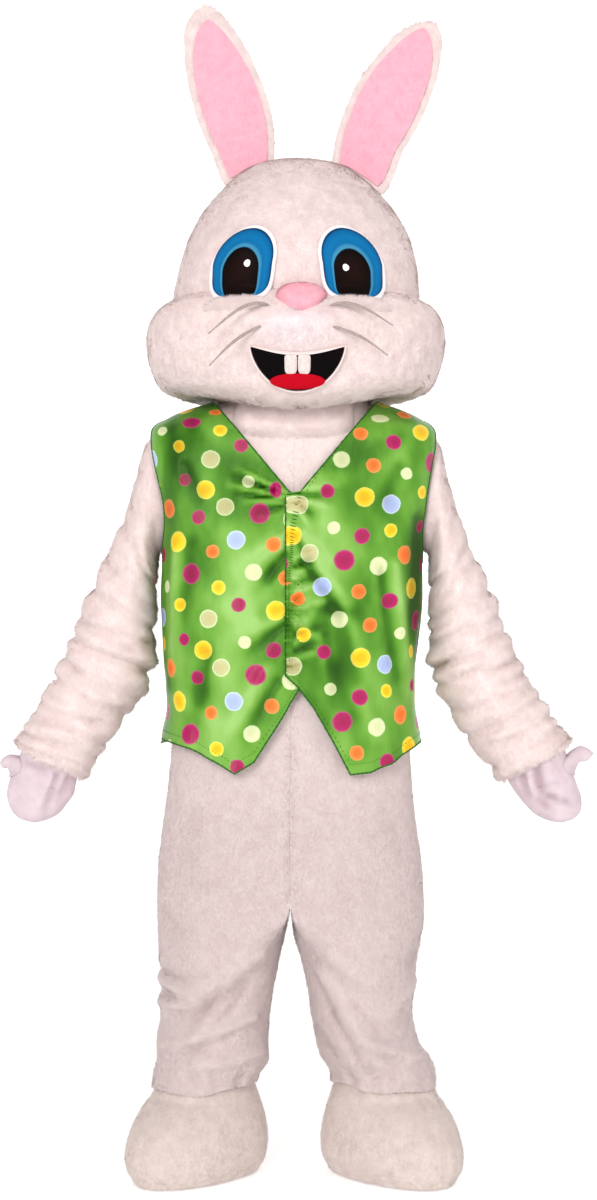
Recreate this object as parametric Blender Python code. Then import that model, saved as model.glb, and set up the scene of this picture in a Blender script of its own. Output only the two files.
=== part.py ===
"""Rabbit mascot costume: a hollow plush suit with a big foam head, mittens, boot covers and a satin vest.

Units are metres and +Z is up. The front faces -Y, and left and right are as seen from the front.
Heights in the tables are above the floor; the origin is where the wearer's shoulders carry the costume.
"""
import math
from collections import namedtuple

import bmesh
import bpy
from mathutils import Vector

# ---------------------------------------------------------------- driving sizes
SHOULDER_HEIGHT = 1.360    # floor to the origin
SEAM_GAP = 0.0003          # between the pieces at a seam
PLUSH = 0.003              # backing and short pile
SATIN = 0.0015             # the vest's cloth, turned at its edges
FOAM = 0.010               # plush laid on the foam of the head
BOOT_WALL = 0.005          # plush laid on the padding of the boots
LAP = 0.0016               # one piece laid over another, measured at its corners

SEAM_HEIGHT = 1.547        # where the cheeks are sewn to the crown
HEAD_CENTRE = Vector((0.004, 0.0, SEAM_HEIGHT))
FACE_MID = 0.0045
NAPE_HALF_WIDTH = 0.220     # the head behind the cheeks
CROTCH_HEIGHT = 0.488
CROTCH_X = -0.008
NECK_HEIGHT = 1.386

Level = namedtuple("Level", "height left right front back square side_lift")
Cross = namedtuple("Cross", "outer_x outer_z inner_x inner_z mid_y depth")
Fold = namedtuple("Fold", "start_x start_z end_x end_z height width")
Ring = namedtuple("Ring", "height toe heel half_width")

HEAD = [
    Level(1.358, -0.130, 0.134, -0.122, 0.124, 2.0, 0.036),
    Level(1.347, -0.150, 0.154, -0.156, 0.146, 2.0, 0.034),
    Level(1.353, -0.182, 0.186, -0.192, 0.170, 2.1, 0.026),
    Level(1.370, -0.216, 0.220, -0.215, 0.192, 2.2, 0.012),
    Level(1.394, -0.241, 0.244, -0.228, 0.204, 2.3, 0.0),
    Level(1.430, -0.259, 0.260, -0.236, 0.211, 2.3, 0.0),
    Level(1.472, -0.266, 0.268, -0.239, 0.215, 2.3, 0.0),
    Level(1.503, -0.262, 0.266, -0.237, 0.216, 2.3, 0.0),
    Level(1.529, -0.247, 0.252, -0.231, 0.215, 2.3, 0.0),
    Level(SEAM_HEIGHT, -0.222, 0.227, -0.222, 0.213, 2.3, 0.0),
    Level(1.575, -0.214, 0.222, -0.222, 0.213, 2.3, 0.0),
    Level(1.612, -0.206, 0.218, -0.220, 0.212, 2.3, 0.0),
    Level(1.660, -0.190, 0.205, -0.207, 0.204, 2.2, 0.0),
    Level(1.703, -0.168, 0.182, -0.184, 0.186, 2.1, 0.0),
    Level(1.741, -0.138, 0.152, -0.154, 0.158, 2.0, 0.0),
    Level(1.771, -0.105, 0.118, -0.118, 0.124, 2.0, 0.0),
    Level(1.793, -0.068, 0.080, -0.078, 0.084, 2.0, 0.0),
    Level(1.806, 0.006, 0.006, 0.0, 0.0, 2.0, 0.0),
]
CROWN_ROW = 9              # the row of HEAD on the cheeks' seam

TORSO = [
    Level(CROTCH_HEIGHT, -0.247, 0.231, -0.130, 0.138, 2.2, 0.0),
    Level(0.560, -0.244, 0.226, -0.136, 0.143, 2.3, 0.0),
    Level(0.640, -0.233, 0.214, -0.138, 0.142, 2.5, 0.0),
    Level(0.735, -0.222, 0.206, -0.139, 0.136, 2.6, 0.0),
    Level(0.830, -0.216, 0.202, -0.140, 0.131, 2.6, 0.0),
    Level(0.930, -0.222, 0.205, -0.141, 0.128, 2.7, 0.0),
    Level(1.020, -0.226, 0.214, -0.141, 0.128, 2.8, 0.0),
    Level(1.110, -0.227, 0.218, -0.140, 0.130, 3.2, 0.0),
    Level(1.180, -0.230, 0.227, -0.137, 0.132, 3.8, 0.0),
    Level(1.245, -0.241, 0.238, -0.130, 0.130, 4.0, 0.0),
    Level(1.285, -0.245, 0.241, -0.122, 0.126, 4.0, 0.0),
    Level(1.314, -0.240, 0.235, -0.113, 0.119, 3.4, 0.0),
    Level(1.336, -0.218, 0.213, -0.104, 0.111, 2.6, 0.0),
    Level(1.352, -0.180, 0.177, -0.096, 0.102, 2.4, 0.0),
    Level(1.365, -0.140, 0.140, -0.090, 0.094, 2.2, 0.0),
    Level(NECK_HEIGHT, -0.110, 0.112, -0.086, 0.088, 2.0, 0.0),
]

VEST = [
    Level(0.700, -0.238, 0.223, -0.164, 0.154, 2.6, 0.0),
    Level(0.778, -0.236, 0.219, -0.161, 0.150, 2.6, 0.0),
    Level(0.830, -0.227, 0.213, -0.157, 0.144, 2.6, 0.0),
    Level(0.880, -0.229, 0.212, -0.155, 0.140, 2.6, 0.0),
    Level(0.950, -0.234, 0.219, -0.153, 0.138, 2.7, 0.0),
    Level(1.020, -0.237, 0.226, -0.152, 0.138, 2.8, 0.0),
    Level(1.110, -0.236, 0.227, -0.150, 0.139, 3.2, 0.0),
    Level(1.180, -0.239, 0.236, -0.146, 0.141, 3.8, 0.0),
    Level(1.250, -0.252, 0.248, -0.139, 0.139, 4.0, 0.0),
    Level(1.292, -0.256, 0.252, -0.130, 0.135, 4.0, 0.0),
    Level(1.322, -0.251, 0.246, -0.120, 0.127, 3.4, 0.0),
    Level(1.3428, -0.224, 0.219, -0.1080, 0.1155, 2.6, 0.0),
    Level(1.3584, -0.186, 0.183, -0.1003, 0.1063, 2.4, 0.0),
    Level(1.3712, -0.147, 0.147, -0.0943, 0.0983, 2.2, 0.0),
    Level(1.393, -0.117, 0.119, -0.092, 0.094, 2.0, 0.0),
]

NECK_SIDE_HEIGHT, NECK_FRONT_DROP, NECK_BACK_DROP, NECK_PUFF = 1.368, 0.068, 0.020, 0.004
NECK_SEAT = 0.0004         # the neck's edge over the suit
ARMHOLE_MID, ARMHOLE_HALF, ARMHOLE_ANGLE = 1.215, 0.095, 0.31
VEST_HOLE_MID, VEST_HOLE_HALF, VEST_HOLE_ANGLE = 1.218, 0.119, 0.39

LEFT_SLEEVE = [
    Cross(-0.247, 1.312, -0.232, 1.102, 0.0, 0.086),
    Cross(-0.264, 1.298, -0.241, 1.100, 0.0, 0.085),
    Cross(-0.283, 1.232, -0.245, 1.084, 0.0, 0.084),
    Cross(-0.301, 1.166, -0.247, 1.058, 0.0, 0.083),
    Cross(-0.336, 1.092, -0.247, 1.016, 0.0, 0.083),
    Cross(-0.371, 1.014, -0.247, 0.958, -0.002, 0.082),
    Cross(-0.395, 0.958, -0.248, 0.903, -0.004, 0.081),
    Cross(-0.415, 0.905, -0.268, 0.853, -0.006, 0.079),
    Cross(-0.442, 0.858, -0.306, 0.806, -0.009, 0.077),
    Cross(-0.468, 0.808, -0.334, 0.760, -0.012, 0.074),
    Cross(-0.486, 0.778, -0.364, 0.718, -0.015, 0.070),
    Cross(-0.4875, 0.758, -0.380, 0.706, -0.016, 0.0498),
]
RIGHT_SLEEVE = [
    Cross(0.243, 1.312, 0.230, 1.102, 0.0, 0.086),
    Cross(0.258, 1.294, 0.238, 1.100, 0.0, 0.085),
    Cross(0.272, 1.228, 0.240, 1.082, 0.0, 0.084),
    Cross(0.293, 1.156, 0.240, 1.054, 0.0, 0.083),
    Cross(0.323, 1.086, 0.239, 1.010, 0.0, 0.083),
    Cross(0.354, 1.018, 0.238, 0.954, -0.002, 0.082),
    Cross(0.377, 0.960, 0.238, 0.902, -0.004, 0.081),
    Cross(0.397, 0.910, 0.256, 0.852, -0.006, 0.079),
    Cross(0.424, 0.862, 0.286, 0.802, -0.009, 0.077),
    Cross(0.452, 0.820, 0.316, 0.758, -0.012, 0.074),
    Cross(0.478, 0.780, 0.352, 0.714, -0.015, 0.070),
    Cross(0.4815, 0.761, 0.370, 0.702, -0.016, 0.0498),
]
ROLLS = 6                  # folds across each sleeve
ROLL_HEIGHT = 0.007
ROLL_START, ROLL_END = 3.0, 10.0

LEFT_MITTEN = [
    Cross(-0.4680, 0.7790, -0.3744, 0.7338, -0.016, 0.041),
    Cross(-0.4830, 0.7560, -0.3850, 0.7085, -0.016, 0.045),
    Cross(-0.4940, 0.7310, -0.3885, 0.6930, -0.018, 0.042),
    Cross(-0.5060, 0.7000, -0.3920, 0.6760, -0.020, 0.038),
    Cross(-0.5100, 0.6740, -0.4030, 0.6600, -0.022, 0.034),
    Cross(-0.5020, 0.6480, -0.4180, 0.6420, -0.023, 0.029),
    Cross(-0.4860, 0.6330, -0.4390, 0.6310, -0.024, 0.021),
    Cross(-0.4620, 0.6260, -0.4620, 0.6260, -0.024, 0.0),
]
RIGHT_MITTEN = [
    Cross(0.4625, 0.7830, 0.3632, 0.7302, -0.016, 0.041),
    Cross(0.4772, 0.7588, 0.3752, 0.7048, -0.016, 0.045),
    Cross(0.4850, 0.7330, 0.3830, 0.6900, -0.018, 0.042),
    Cross(0.4960, 0.7030, 0.3930, 0.6750, -0.020, 0.038),
    Cross(0.5060, 0.6740, 0.4080, 0.6560, -0.022, 0.034),
    Cross(0.5060, 0.6500, 0.4260, 0.6400, -0.023, 0.029),
    Cross(0.4940, 0.6340, 0.4480, 0.6300, -0.024, 0.021),
    Cross(0.4720, 0.6260, 0.4720, 0.6260, -0.024, 0.0),
]
THUMB_ROW, THUMB_ROWS, THUMB_ANGLE = 2.15, 0.62, 0.72
MITTEN_STOPS = [0.0, 0.9, THUMB_ROW - THUMB_ROWS, 1.8, 2.5, THUMB_ROW + THUMB_ROWS, 3.6, 4.6, 5.5, 6.4, 7.0]
LEFT_THUMB = [
    Cross(-0.501, 0.750, -0.505, 0.722, -0.017, 0.0145),
    Cross(-0.508, 0.746, -0.511, 0.722, -0.017, 0.0135),
    Cross(-0.517, 0.741, -0.518, 0.722, -0.017, 0.0110),
    Cross(-0.524, 0.731, -0.524, 0.731, -0.017, 0.0),
]
RIGHT_THUMB = [
    Cross(0.493, 0.764, 0.497, 0.732, -0.017, 0.0145),
    Cross(0.507, 0.762, 0.506, 0.733, -0.017, 0.0140),
    Cross(0.520, 0.757, 0.518, 0.735, -0.017, 0.0115),
    Cross(0.530, 0.748, 0.530, 0.748, -0.017, 0.0),
]

LEFT_LEG = [
    Cross(-0.2470, CROTCH_HEIGHT, CROTCH_X, CROTCH_HEIGHT, 0.005, 0.133),
    Cross(-0.2460, 0.440, -0.0190, 0.440, 0.004, 0.124),
    Cross(-0.2430, 0.385, -0.0260, 0.385, 0.004, 0.117),
    Cross(-0.2400, 0.325, -0.0380, 0.325, 0.006, 0.112),
    Cross(-0.2420, 0.275, -0.0440, 0.275, 0.010, 0.110),
    Cross(-0.2490, 0.228, -0.0460, 0.228, 0.015, 0.110),
    Cross(-0.2460, 0.190, -0.0440, 0.190, 0.018, 0.108),
    Cross(-0.2380, 0.160, -0.0560, 0.160, 0.020, 0.100),
]
RIGHT_LEG = [
    Cross(0.2310, CROTCH_HEIGHT, CROTCH_X, CROTCH_HEIGHT, 0.005, 0.133),
    Cross(0.2280, 0.440, -0.0050, 0.440, 0.004, 0.124),
    Cross(0.2200, 0.385, 0.0090, 0.385, 0.004, 0.117),
    Cross(0.2100, 0.325, 0.0210, 0.325, 0.006, 0.112),
    Cross(0.2110, 0.275, 0.0270, 0.275, 0.010, 0.110),
    Cross(0.2210, 0.228, 0.0370, 0.228, 0.015, 0.110),
    Cross(0.2420, 0.196, 0.0460, 0.196, 0.018, 0.108),
    Cross(0.2380, 0.162, 0.0620, 0.162, 0.020, 0.100),
]
LEG_ARC = 0.72             # share of a leg's turn that runs on from the body's lower edge
LEG_BLEND, LEG_GATHER = 2.2, 1.6
BODY_STOPS = [CROTCH_HEIGHT, 0.56, 0.64, 0.75, 0.87, 0.99, 1.06, 1.120, 1.135, 1.172, 1.212, 1.254, 1.295,
              1.310, 1.334, 1.353, 1.367, NECK_HEIGHT]
HEM_WAVES, HEM_WAVE = 10, 0.004

BOOT = [
    Ring(0.0123, 0.192, 0.108, 0.101),
    Ring(0.040, 0.200, 0.114, 0.110),
    Ring(0.075, 0.192, 0.114, 0.109),
    Ring(0.108, 0.166, 0.108, 0.103),
    Ring(0.138, 0.129, 0.099, 0.093),
    Ring(0.165, 0.101, 0.090, 0.083),
    Ring(0.196, 0.084, 0.080, 0.075),
]
BOOT_ANKLES = {"left": Vector((-0.158, 0.020, 0.0)), "right": Vector((0.155, 0.020, 0.0))}
BOOT_SPLAY = math.radians(33.0)
SOLE_HEIGHT = 0.012
SOLE_EDGE = 0.003

LEFT_EAR = [
    Cross(-0.122, 1.770, -0.036, 1.790, 0.004, 0.018),
    Cross(-0.150, 1.812, -0.033, 1.830, 0.006, 0.018),
    Cross(-0.172, 1.862, -0.037, 1.874, 0.008, 0.017),
    Cross(-0.187, 1.910, -0.046, 1.912, 0.010, 0.016),
    Cross(-0.197, 1.958, -0.062, 1.956, 0.012, 0.015),
    Cross(-0.201, 2.004, -0.082, 1.998, 0.014, 0.014),
    Cross(-0.198, 2.042, -0.104, 2.035, 0.015, 0.012),
    Cross(-0.183, 2.070, -0.130, 2.066, 0.016, 0.008),
    Cross(-0.160, 2.083, -0.160, 2.083, 0.016, 0.0),
]
RIGHT_EAR = [
    Cross(0.152, 1.768, 0.062, 1.790, 0.004, 0.018),
    Cross(0.196, 1.820, 0.069, 1.840, 0.006, 0.018),
    Cross(0.224, 1.868, 0.083, 1.884, 0.008, 0.017),
    Cross(0.244, 1.914, 0.102, 1.928, 0.010, 0.016),
    Cross(0.258, 1.958, 0.126, 1.968, 0.012, 0.015),
    Cross(0.265, 1.998, 0.152, 2.000, 0.014, 0.014),
    Cross(0.264, 2.028, 0.180, 2.030, 0.015, 0.012),
    Cross(0.256, 2.046, 0.212, 2.048, 0.016, 0.008),
    Cross(0.238, 2.053, 0.238, 2.053, 0.016, 0.0),
]
EAR_SEAT = 0.0012          # an ear's foot above the crown
EAR_CUP = 0.012            # how far an ear's edges come forward
EAR_RIM = 0.017            # white plush left showing round the lining

Bulge = namedtuple("Bulge", "x z width height forward")
FACE_BULGES = [
    Bulge(FACE_MID, 1.487, 0.082, 0.040, 0.036),
    Bulge(-0.150, 1.440, 0.075, 0.070, 0.012),
    Bulge(0.158, 1.440, 0.075, 0.070, 0.012),
]

EYE_OUT, EYE_HEIGHT = 0.0915, 1.590
EYE_HALF_WIDTH, EYE_TOP, EYE_BOTTOM, EYE_LEAN = 0.050, 0.059, 0.062, 0.16
EYE_BORDER = 0.006
PUPIL_OUT, PUPIL_HEIGHT = 0.0925, 1.576
PUPIL_HALF_WIDTH, PUPIL_TOP, PUPIL_BOTTOM = 0.029, 0.045, 0.044
EYE_DOME, EYE_LIFT = 0.012, 0.0012
GLINT_OUT, GLINT_HEIGHT, GLINT_HALF_WIDTH, GLINT_HALF_HEIGHT = 0.0850, 1.592, 0.0065, 0.0085
NOSE_HEIGHT, NOSE_HALF_WIDTH, NOSE_TOP, NOSE_BOTTOM, NOSE_DEPTH = 1.531, 0.041, 0.020, 0.025, 0.024

MOUTH_CORNER, MOUTH_CORNER_HEIGHT = 0.077, 1.446
MOUTH_LIP_HEIGHT, MOUTH_BOTTOM_HEIGHT, MOUTH_BORDER = 1.431, 1.376, 0.004
MOUTH_PANEL, MOUTH_LIFT = 0.002, 0.0024
TONGUE_HALF_WIDTH, TONGUE_TOP_HEIGHT, TONGUE_BOTTOM_HEIGHT = 0.046, 1.4030, 1.3785
TOOTH_HALF_WIDTH, TOOTH_TOP_HEIGHT, TOOTH_BOTTOM_HEIGHT, TOOTH_OUT = 0.0115, 1.4325, 1.4042, 0.0123

Whisker = namedtuple("Whisker", "root_x root_z tip_x tip_z sag sink")
WHISKERS = {
    "whisker_left_upper": Whisker(-0.040, 1.512, -0.150, 1.459, 0.006, 0.0036),
    "whisker_left_lower": Whisker(-0.058, 1.478, -0.148, 1.408, 0.006, 0.0014),
    "whisker_right_upper": Whisker(0.056, 1.511, 0.166, 1.476, 0.006, 0.0006),
    "whisker_right_lower": Whisker(0.066, 1.477, 0.157, 1.425, 0.006, 0.0013),
}
WHISKER_RADIUS = 0.0009

LEG_FOLDS = {
    "left": [
        Fold(-0.060, 0.400, -0.230, 0.300, 0.009, 0.020),
        Fold(-0.075, 0.290, -0.235, 0.235, 0.008, 0.016),
        Fold(-0.060, 0.225, -0.170, 0.205, 0.007, 0.014),
    ],
    "right": [
        Fold(0.035, 0.330, 0.120, 0.205, 0.010, 0.018),
        Fold(0.060, 0.395, 0.190, 0.330, 0.007, 0.020),
        Fold(0.130, 0.250, 0.225, 0.215, 0.008, 0.015),
    ],
}
VEST_FOLDS = [
    Fold(-0.020, 1.200, -0.140, 1.245, 0.005, 0.014),
    Fold(-0.030, 1.185, -0.160, 1.190, 0.004, 0.013),
    Fold(0.020, 1.190, 0.130, 1.150, 0.005, 0.015),
    Fold(0.020, 0.980, 0.120, 1.060, 0.006, 0.015),
    Fold(-0.030, 0.960, -0.150, 0.900, 0.005, 0.016),
    Fold(0.060, 0.900, 0.150, 0.790, 0.005, 0.016),
]
VEST_OPENING_HEIGHT, VEST_NECK_SLOPE, VEST_NECK_X = 1.204, 0.83, 0.008
VEST_LAP = 0.0042
Hem = namedtuple("Hem", "x height")
VEST_HEMS = {
    "left": [
        Hem(-0.238, 0.776), Hem(-0.230, 0.775), Hem(-0.212, 0.771), Hem(-0.180, 0.764), Hem(-0.140, 0.744),
        Hem(-0.102, 0.722), Hem(-0.070, 0.742), Hem(-0.036, 0.796), Hem(-0.014, 0.832), Hem(0.006, 0.866),
    ],
    "right": [
        Hem(0.223, 0.774), Hem(0.213, 0.769), Hem(0.195, 0.757), Hem(0.165, 0.738), Hem(0.128, 0.724),
        Hem(0.094, 0.720), Hem(0.066, 0.776), Hem(0.034, 0.834), Hem(0.007, 0.870), Hem(-0.016, 0.890),
    ],
}
VEST_STOPS = [1.099, 1.122, 1.162, VEST_OPENING_HEIGHT, 1.250, 1.290, 1.316, 1.337, 1.355, 1.372]
VEST_LOWER_ROWS = 7
VEST_BACK_HEM = 0.766
VEST_NAPE_START, VEST_NAPE_DIP = 1.290, 0.40

FRONT, BACK = -1, 1
SIDES = {"left": -1, "right": 1}


# ---------------------------------------------------------------- materials
def finish(name, colour, roughness):
    """A Principled material."""
    material = bpy.data.materials.new(name)
    material.use_nodes = True
    shader = material.node_tree.nodes["Principled BSDF"]
    shader.inputs["Base Color"].default_value = (*colour, 1.0)
    shader.inputs["Roughness"].default_value = roughness
    shader.inputs["Metallic"].default_value = 0.0
    return material


# ---------------------------------------------------------------- curves and rings
def power(value, exponent):
    """A power that keeps the sign."""
    return math.copysign(abs(value) ** exponent, value)


def ease(part):
    """0 to 1 with a soft start and end."""
    part = min(max(part, 0.0), 1.0)
    return part * part * (3.0 - 2.0 * part)


def through(rows, at):
    """The row of a table at a fractional row number, on a smooth curve through the rows."""
    last = len(rows) - 1
    at = min(max(at, 0.0), float(last))
    low = min(int(at), last - 1)
    t = at - low
    four = [rows[min(max(low + step, 0), last)] for step in (-1, 0, 1, 2)]

    def blend(before, start, end, after):
        return start + 0.5 * t * (
            end - before + t * (2 * before - 5 * start + 4 * end - after + t * (3 * (start - end) + after - before))
        )

    return type(rows[0])(*(blend(*values) for values in zip(*four)))


def row_at(rows, height, first=0):
    """The fractional row number at a height, in rows that climb from the first."""
    low, high = float(first), len(rows) - 1.0
    for _ in range(40):
        middle = (low + high) / 2
        if through(rows, middle).height < height:
            low = middle
        else:
            high = middle
    return low


def level_point(level, angle):
    """A point of a level ring and the way into the wall; the angle turns right, back, left, front."""
    half = (level.right - level.left) / 2
    across = power(math.cos(angle), 2 / level.square)
    deep = power(math.sin(angle), 2 / level.square)
    depth = level.back if deep > 0 else -level.front
    point = Vector(((level.left + level.right) / 2 + half * across, depth * deep,
                    level.height + level.side_lift * across * across))
    slope = level.square - 1
    inward = -Vector((power(across, slope) * depth, power(deep, slope) * half, 0.0))
    return point, inward.normalized() if inward.length > 0 else Vector((0.0, 0.0, -1.0))


def angle_at(level, x, side):
    """The angle of a level ring's point at x, on its front or back."""
    half = (level.right - level.left) / 2
    across = min(max((x - (level.left + level.right) / 2) / half, -1.0), 1.0)
    angle = math.acos(power(across, level.square / 2))
    return angle if side == BACK else 2 * math.pi - angle


def cross_point(cross, angle, cup=0.0):
    """A point of a slanted ring between its outer and inner edge, and the way into the wall."""
    outer = Vector((cross.outer_x, cross.mid_y, cross.outer_z))
    inner = Vector((cross.inner_x, cross.mid_y, cross.inner_z))
    reach = (outer - inner) / 2
    along, deep = math.cos(angle), math.sin(angle)
    point = (outer + inner) / 2 + reach * along + Vector((0.0, cross.depth * deep - cup * along * along, 0.0))
    if reach.length == 0:
        return point, Vector((0.0, 0.0, 0.0))
    inward = -(reach.normalized() * along * cross.depth + Vector((0.0, deep * reach.length, 0.0)))
    return point, inward.normalized()


def fold_height(folds, x, z):
    """How far the soft ridges stand out at a place on the front."""
    total = 0.0
    for fold in folds:
        start = Vector((fold.start_x, fold.start_z))
        run = Vector((fold.end_x, fold.end_z)) - start
        part = (Vector((x, z)) - start).dot(run) / run.length_squared
        foot = start + run * min(max(part, 0.0), 1.0)
        total += fold.height * math.exp(-((Vector((x, z)) - foot).length / fold.width) ** 2)
    return total


# ---------------------------------------------------------------- meshes
def keep(name, mesh, material, smooth_angle=50.0):
    """Turns a finished bmesh into a named object."""
    bmesh.ops.recalc_face_normals(mesh, faces=mesh.faces)
    for vert in mesh.verts:
        vert.co.z -= SHOULDER_HEIGHT
    data = bpy.data.meshes.new(name)
    mesh.to_mesh(data)
    mesh.free()
    data.materials.append(material)
    data.shade_smooth()
    data.set_sharp_from_angle(angle=math.radians(smooth_angle))
    piece = bpy.data.objects.new(name, data)
    bpy.context.collection.objects.link(piece)
    return piece


def wall(name, patches, material, shift=(0.0, 0.0, 0.0)):
    """A closed wall between the outer and the inner points of its patches.

    A patch is (surface, columns, rows), and surface(u, v) gives both points, with u and v from 0 to 1.
    Edges of patches that meet are joined, and an edge that comes to one point is closed.
    """
    mesh = bmesh.new()
    lining = mesh.verts.layers.float_vector.new("lining")
    for surface, columns, rows in patches:
        grid = bmesh.ops.create_grid(mesh, x_segments=columns, y_segments=rows, size=0.5)
        for vert in grid["verts"]:
            vert.co, vert[lining] = surface(vert.co.x + 0.5, vert.co.y + 0.5)
    bmesh.ops.remove_doubles(mesh, verts=mesh.verts, dist=1e-5)
    grown = bmesh.ops.extrude_face_region(mesh, geom=list(mesh.faces), use_keep_orig=True)
    for item in grown["geom"]:
        if isinstance(item, bmesh.types.BMVert):
            item.co = item[lining]
    bmesh.ops.translate(mesh, vec=shift, verts=mesh.verts)
    return keep(name, mesh, material)


# ---------------------------------------------------------------- head
def face_forward(x, z):
    """How far the muzzle and cheeks stand forward of the plain head."""
    return sum(
        bulge.forward * math.exp(-((x - bulge.x) / bulge.width) ** 2 - ((z - bulge.z) / bulge.height) ** 2)
        for bulge in FACE_BULGES
    )


def head_layers(angle, row):
    """Outer and inner point of the head's wall."""
    level = through(HEAD, row)
    point, _ = level_point(level, angle)
    half = (level.right - level.left) / 2
    if half > NAPE_HALF_WIDTH and point.y > 0:
        mid = (level.right + level.left) / 2
        point.x = mid + (point.x - mid) * (1 + (NAPE_HALF_WIDTH / half - 1) * ease(point.y / 0.10))
    facing = ease(-point.y / 0.12)
    point.y -= face_forward(point.x, point.z) * facing
    return point, point + (HEAD_CENTRE - point).normalized() * FOAM


def head_half(name, side, first, last, columns, rows, material, lift):
    """The front or back half of a stretch of the head."""
    turn = math.pi if side == FRONT else 0.0

    def surface(u, v):
        return head_layers(turn + math.pi * u, first + (last - first) * v)

    return wall(name, [(surface, columns, rows)], material, (0.0, side * SEAM_GAP / 2, lift))


def face_point(x, z, lift):
    """A point over the front of the head, moved out by lift along its slope."""

    def depth(at_x, at_z):
        level = through(HEAD, row_at(HEAD, at_z, 1))
        half = (level.right - level.left) / 2
        across = min(abs(at_x - (level.left + level.right) / 2) / half, 0.999)
        return level.front * (1 - across ** level.square) ** (1 / level.square) - face_forward(at_x, at_z)

    step = 0.006
    slope_x = (depth(x + step, z) - depth(x - step, z)) / (2 * step)
    slope_z = (depth(x, z + step) - depth(x, z - step)) / (2 * step)
    out = Vector((slope_x, -1.0, slope_z)).normalized()
    return Vector((x, depth(x, z), z)) + out * lift


def plate(name, inside, outside, columns, rows, material, lift, thickness, rise=None, hollow=0.4):
    """A thin piece laid on the face between two outlines u -> (x, z).

    rise(x, z) domes its front, and hollow is the share of the rise that its back doesn't follow.
    """

    def surface(u, v):
        (near_x, near_z), (far_x, far_z) = inside(u), outside(u)
        x, z = near_x + (far_x - near_x) * v, near_z + (far_z - near_z) * v
        over = rise(x, z) if rise else 0.0
        return face_point(x, z, lift + over + thickness), face_point(x, z, lift + over * (1 - hollow))

    return wall(name, [(surface, columns, rows)], material)


def arch(centre_x, height, half_width, top, bottom, lean=0.0, corner=3.2):
    """An outline with a round top and a flatter bottom."""

    def outline(u):
        along, up = math.cos(2 * math.pi * u), math.sin(2 * math.pi * u)
        if up > 0:
            z = top * up
            x = half_width * along
        else:
            z = bottom * power(up, 2 / corner)
            x = half_width * power(along, 2 / corner)
        return centre_x + x + lean * z, height + z

    return outline


def add_eye(side_name, white, blue, black, shine):
    """A white felt border, a blue eye, its pupil and its shine, let into each other."""
    side = SIDES[side_name]
    centre = FACE_MID + side * EYE_OUT
    lean = -side * EYE_LEAN
    iris = arch(centre, EYE_HEIGHT, EYE_HALF_WIDTH, EYE_TOP, EYE_BOTTOM, lean)
    border_in = arch(centre, EYE_HEIGHT, EYE_HALF_WIDTH + 2 * SEAM_GAP, EYE_TOP + 2 * SEAM_GAP,
                     EYE_BOTTOM + 2 * SEAM_GAP, lean)
    border_out = arch(centre, EYE_HEIGHT, EYE_HALF_WIDTH + EYE_BORDER, EYE_TOP + EYE_BORDER,
                      EYE_BOTTOM + EYE_BORDER, lean)
    pupil_x = FACE_MID + side * PUPIL_OUT
    pupil = arch(pupil_x, PUPIL_HEIGHT, PUPIL_HALF_WIDTH, PUPIL_TOP, PUPIL_BOTTOM, lean)
    pupil_hole = arch(pupil_x, PUPIL_HEIGHT, PUPIL_HALF_WIDTH + 2 * SEAM_GAP, PUPIL_TOP + 2 * SEAM_GAP,
                      PUPIL_BOTTOM + 2 * SEAM_GAP, lean)

    def dome(x, z):
        away = Vector(((x - centre) / (EYE_HALF_WIDTH + EYE_BORDER), (z - EYE_HEIGHT) / (EYE_TOP + EYE_BORDER)))
        return EYE_DOME * max(1 - away.length_squared, 0.0)

    plate("eye_border_" + side_name, border_in, border_out, 18, 1, white, EYE_LIFT, 0.003)
    plate("eye_iris_" + side_name, pupil_hole, iris, 18, 1, blue, EYE_LIFT, 0.003, dome)
    plate("eye_pupil_" + side_name, lambda u: (pupil_x, PUPIL_HEIGHT), pupil, 18, 2, black, EYE_LIFT, 0.003,
          dome)
    glint_x = FACE_MID + side * GLINT_OUT
    glint = arch(glint_x, GLINT_HEIGHT, GLINT_HALF_WIDTH, GLINT_HALF_HEIGHT, GLINT_HALF_HEIGHT, 0.0, 2.0)
    plate("eye_shine_" + side_name, lambda u: (glint_x, GLINT_HEIGHT), glint, 8, 1, shine,
          EYE_LIFT + 0.003 + 2 * SEAM_GAP, 0.001, dome, 0.0)


def add_nose(pink):
    """A padded nose, a rounded triangle with its point down."""

    def outline(u):
        along, up = math.cos(2 * math.pi * u), math.sin(2 * math.pi * u)
        z = NOSE_TOP * power(up, 0.8) if up > 0 else NOSE_BOTTOM * up
        narrow = 1.0 if up > 0 else 1.0 - 0.45 * -up
        return 0.011 + NOSE_HALF_WIDTH * along * narrow, NOSE_HEIGHT + z

    def rise(x, z):
        away = Vector(((x - 0.011) / NOSE_HALF_WIDTH, (z - NOSE_HEIGHT) / NOSE_BOTTOM))
        return NOSE_DEPTH * math.sqrt(max(1 - 0.92 * min(away.length, 1.0) ** 2, 0.0)) - NOSE_DEPTH * 0.28

    def surface(u, v):
        edge_x, edge_z = outline(u)
        x, z = 0.011 + (edge_x - 0.011) * v, NOSE_HEIGHT + (edge_z - NOSE_HEIGHT) * v
        return face_point(x, z, LAP + 0.002 + rise(x, z)), face_point(x, z, LAP)

    wall("nose", [(surface, 14, 4)], pink)


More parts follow.
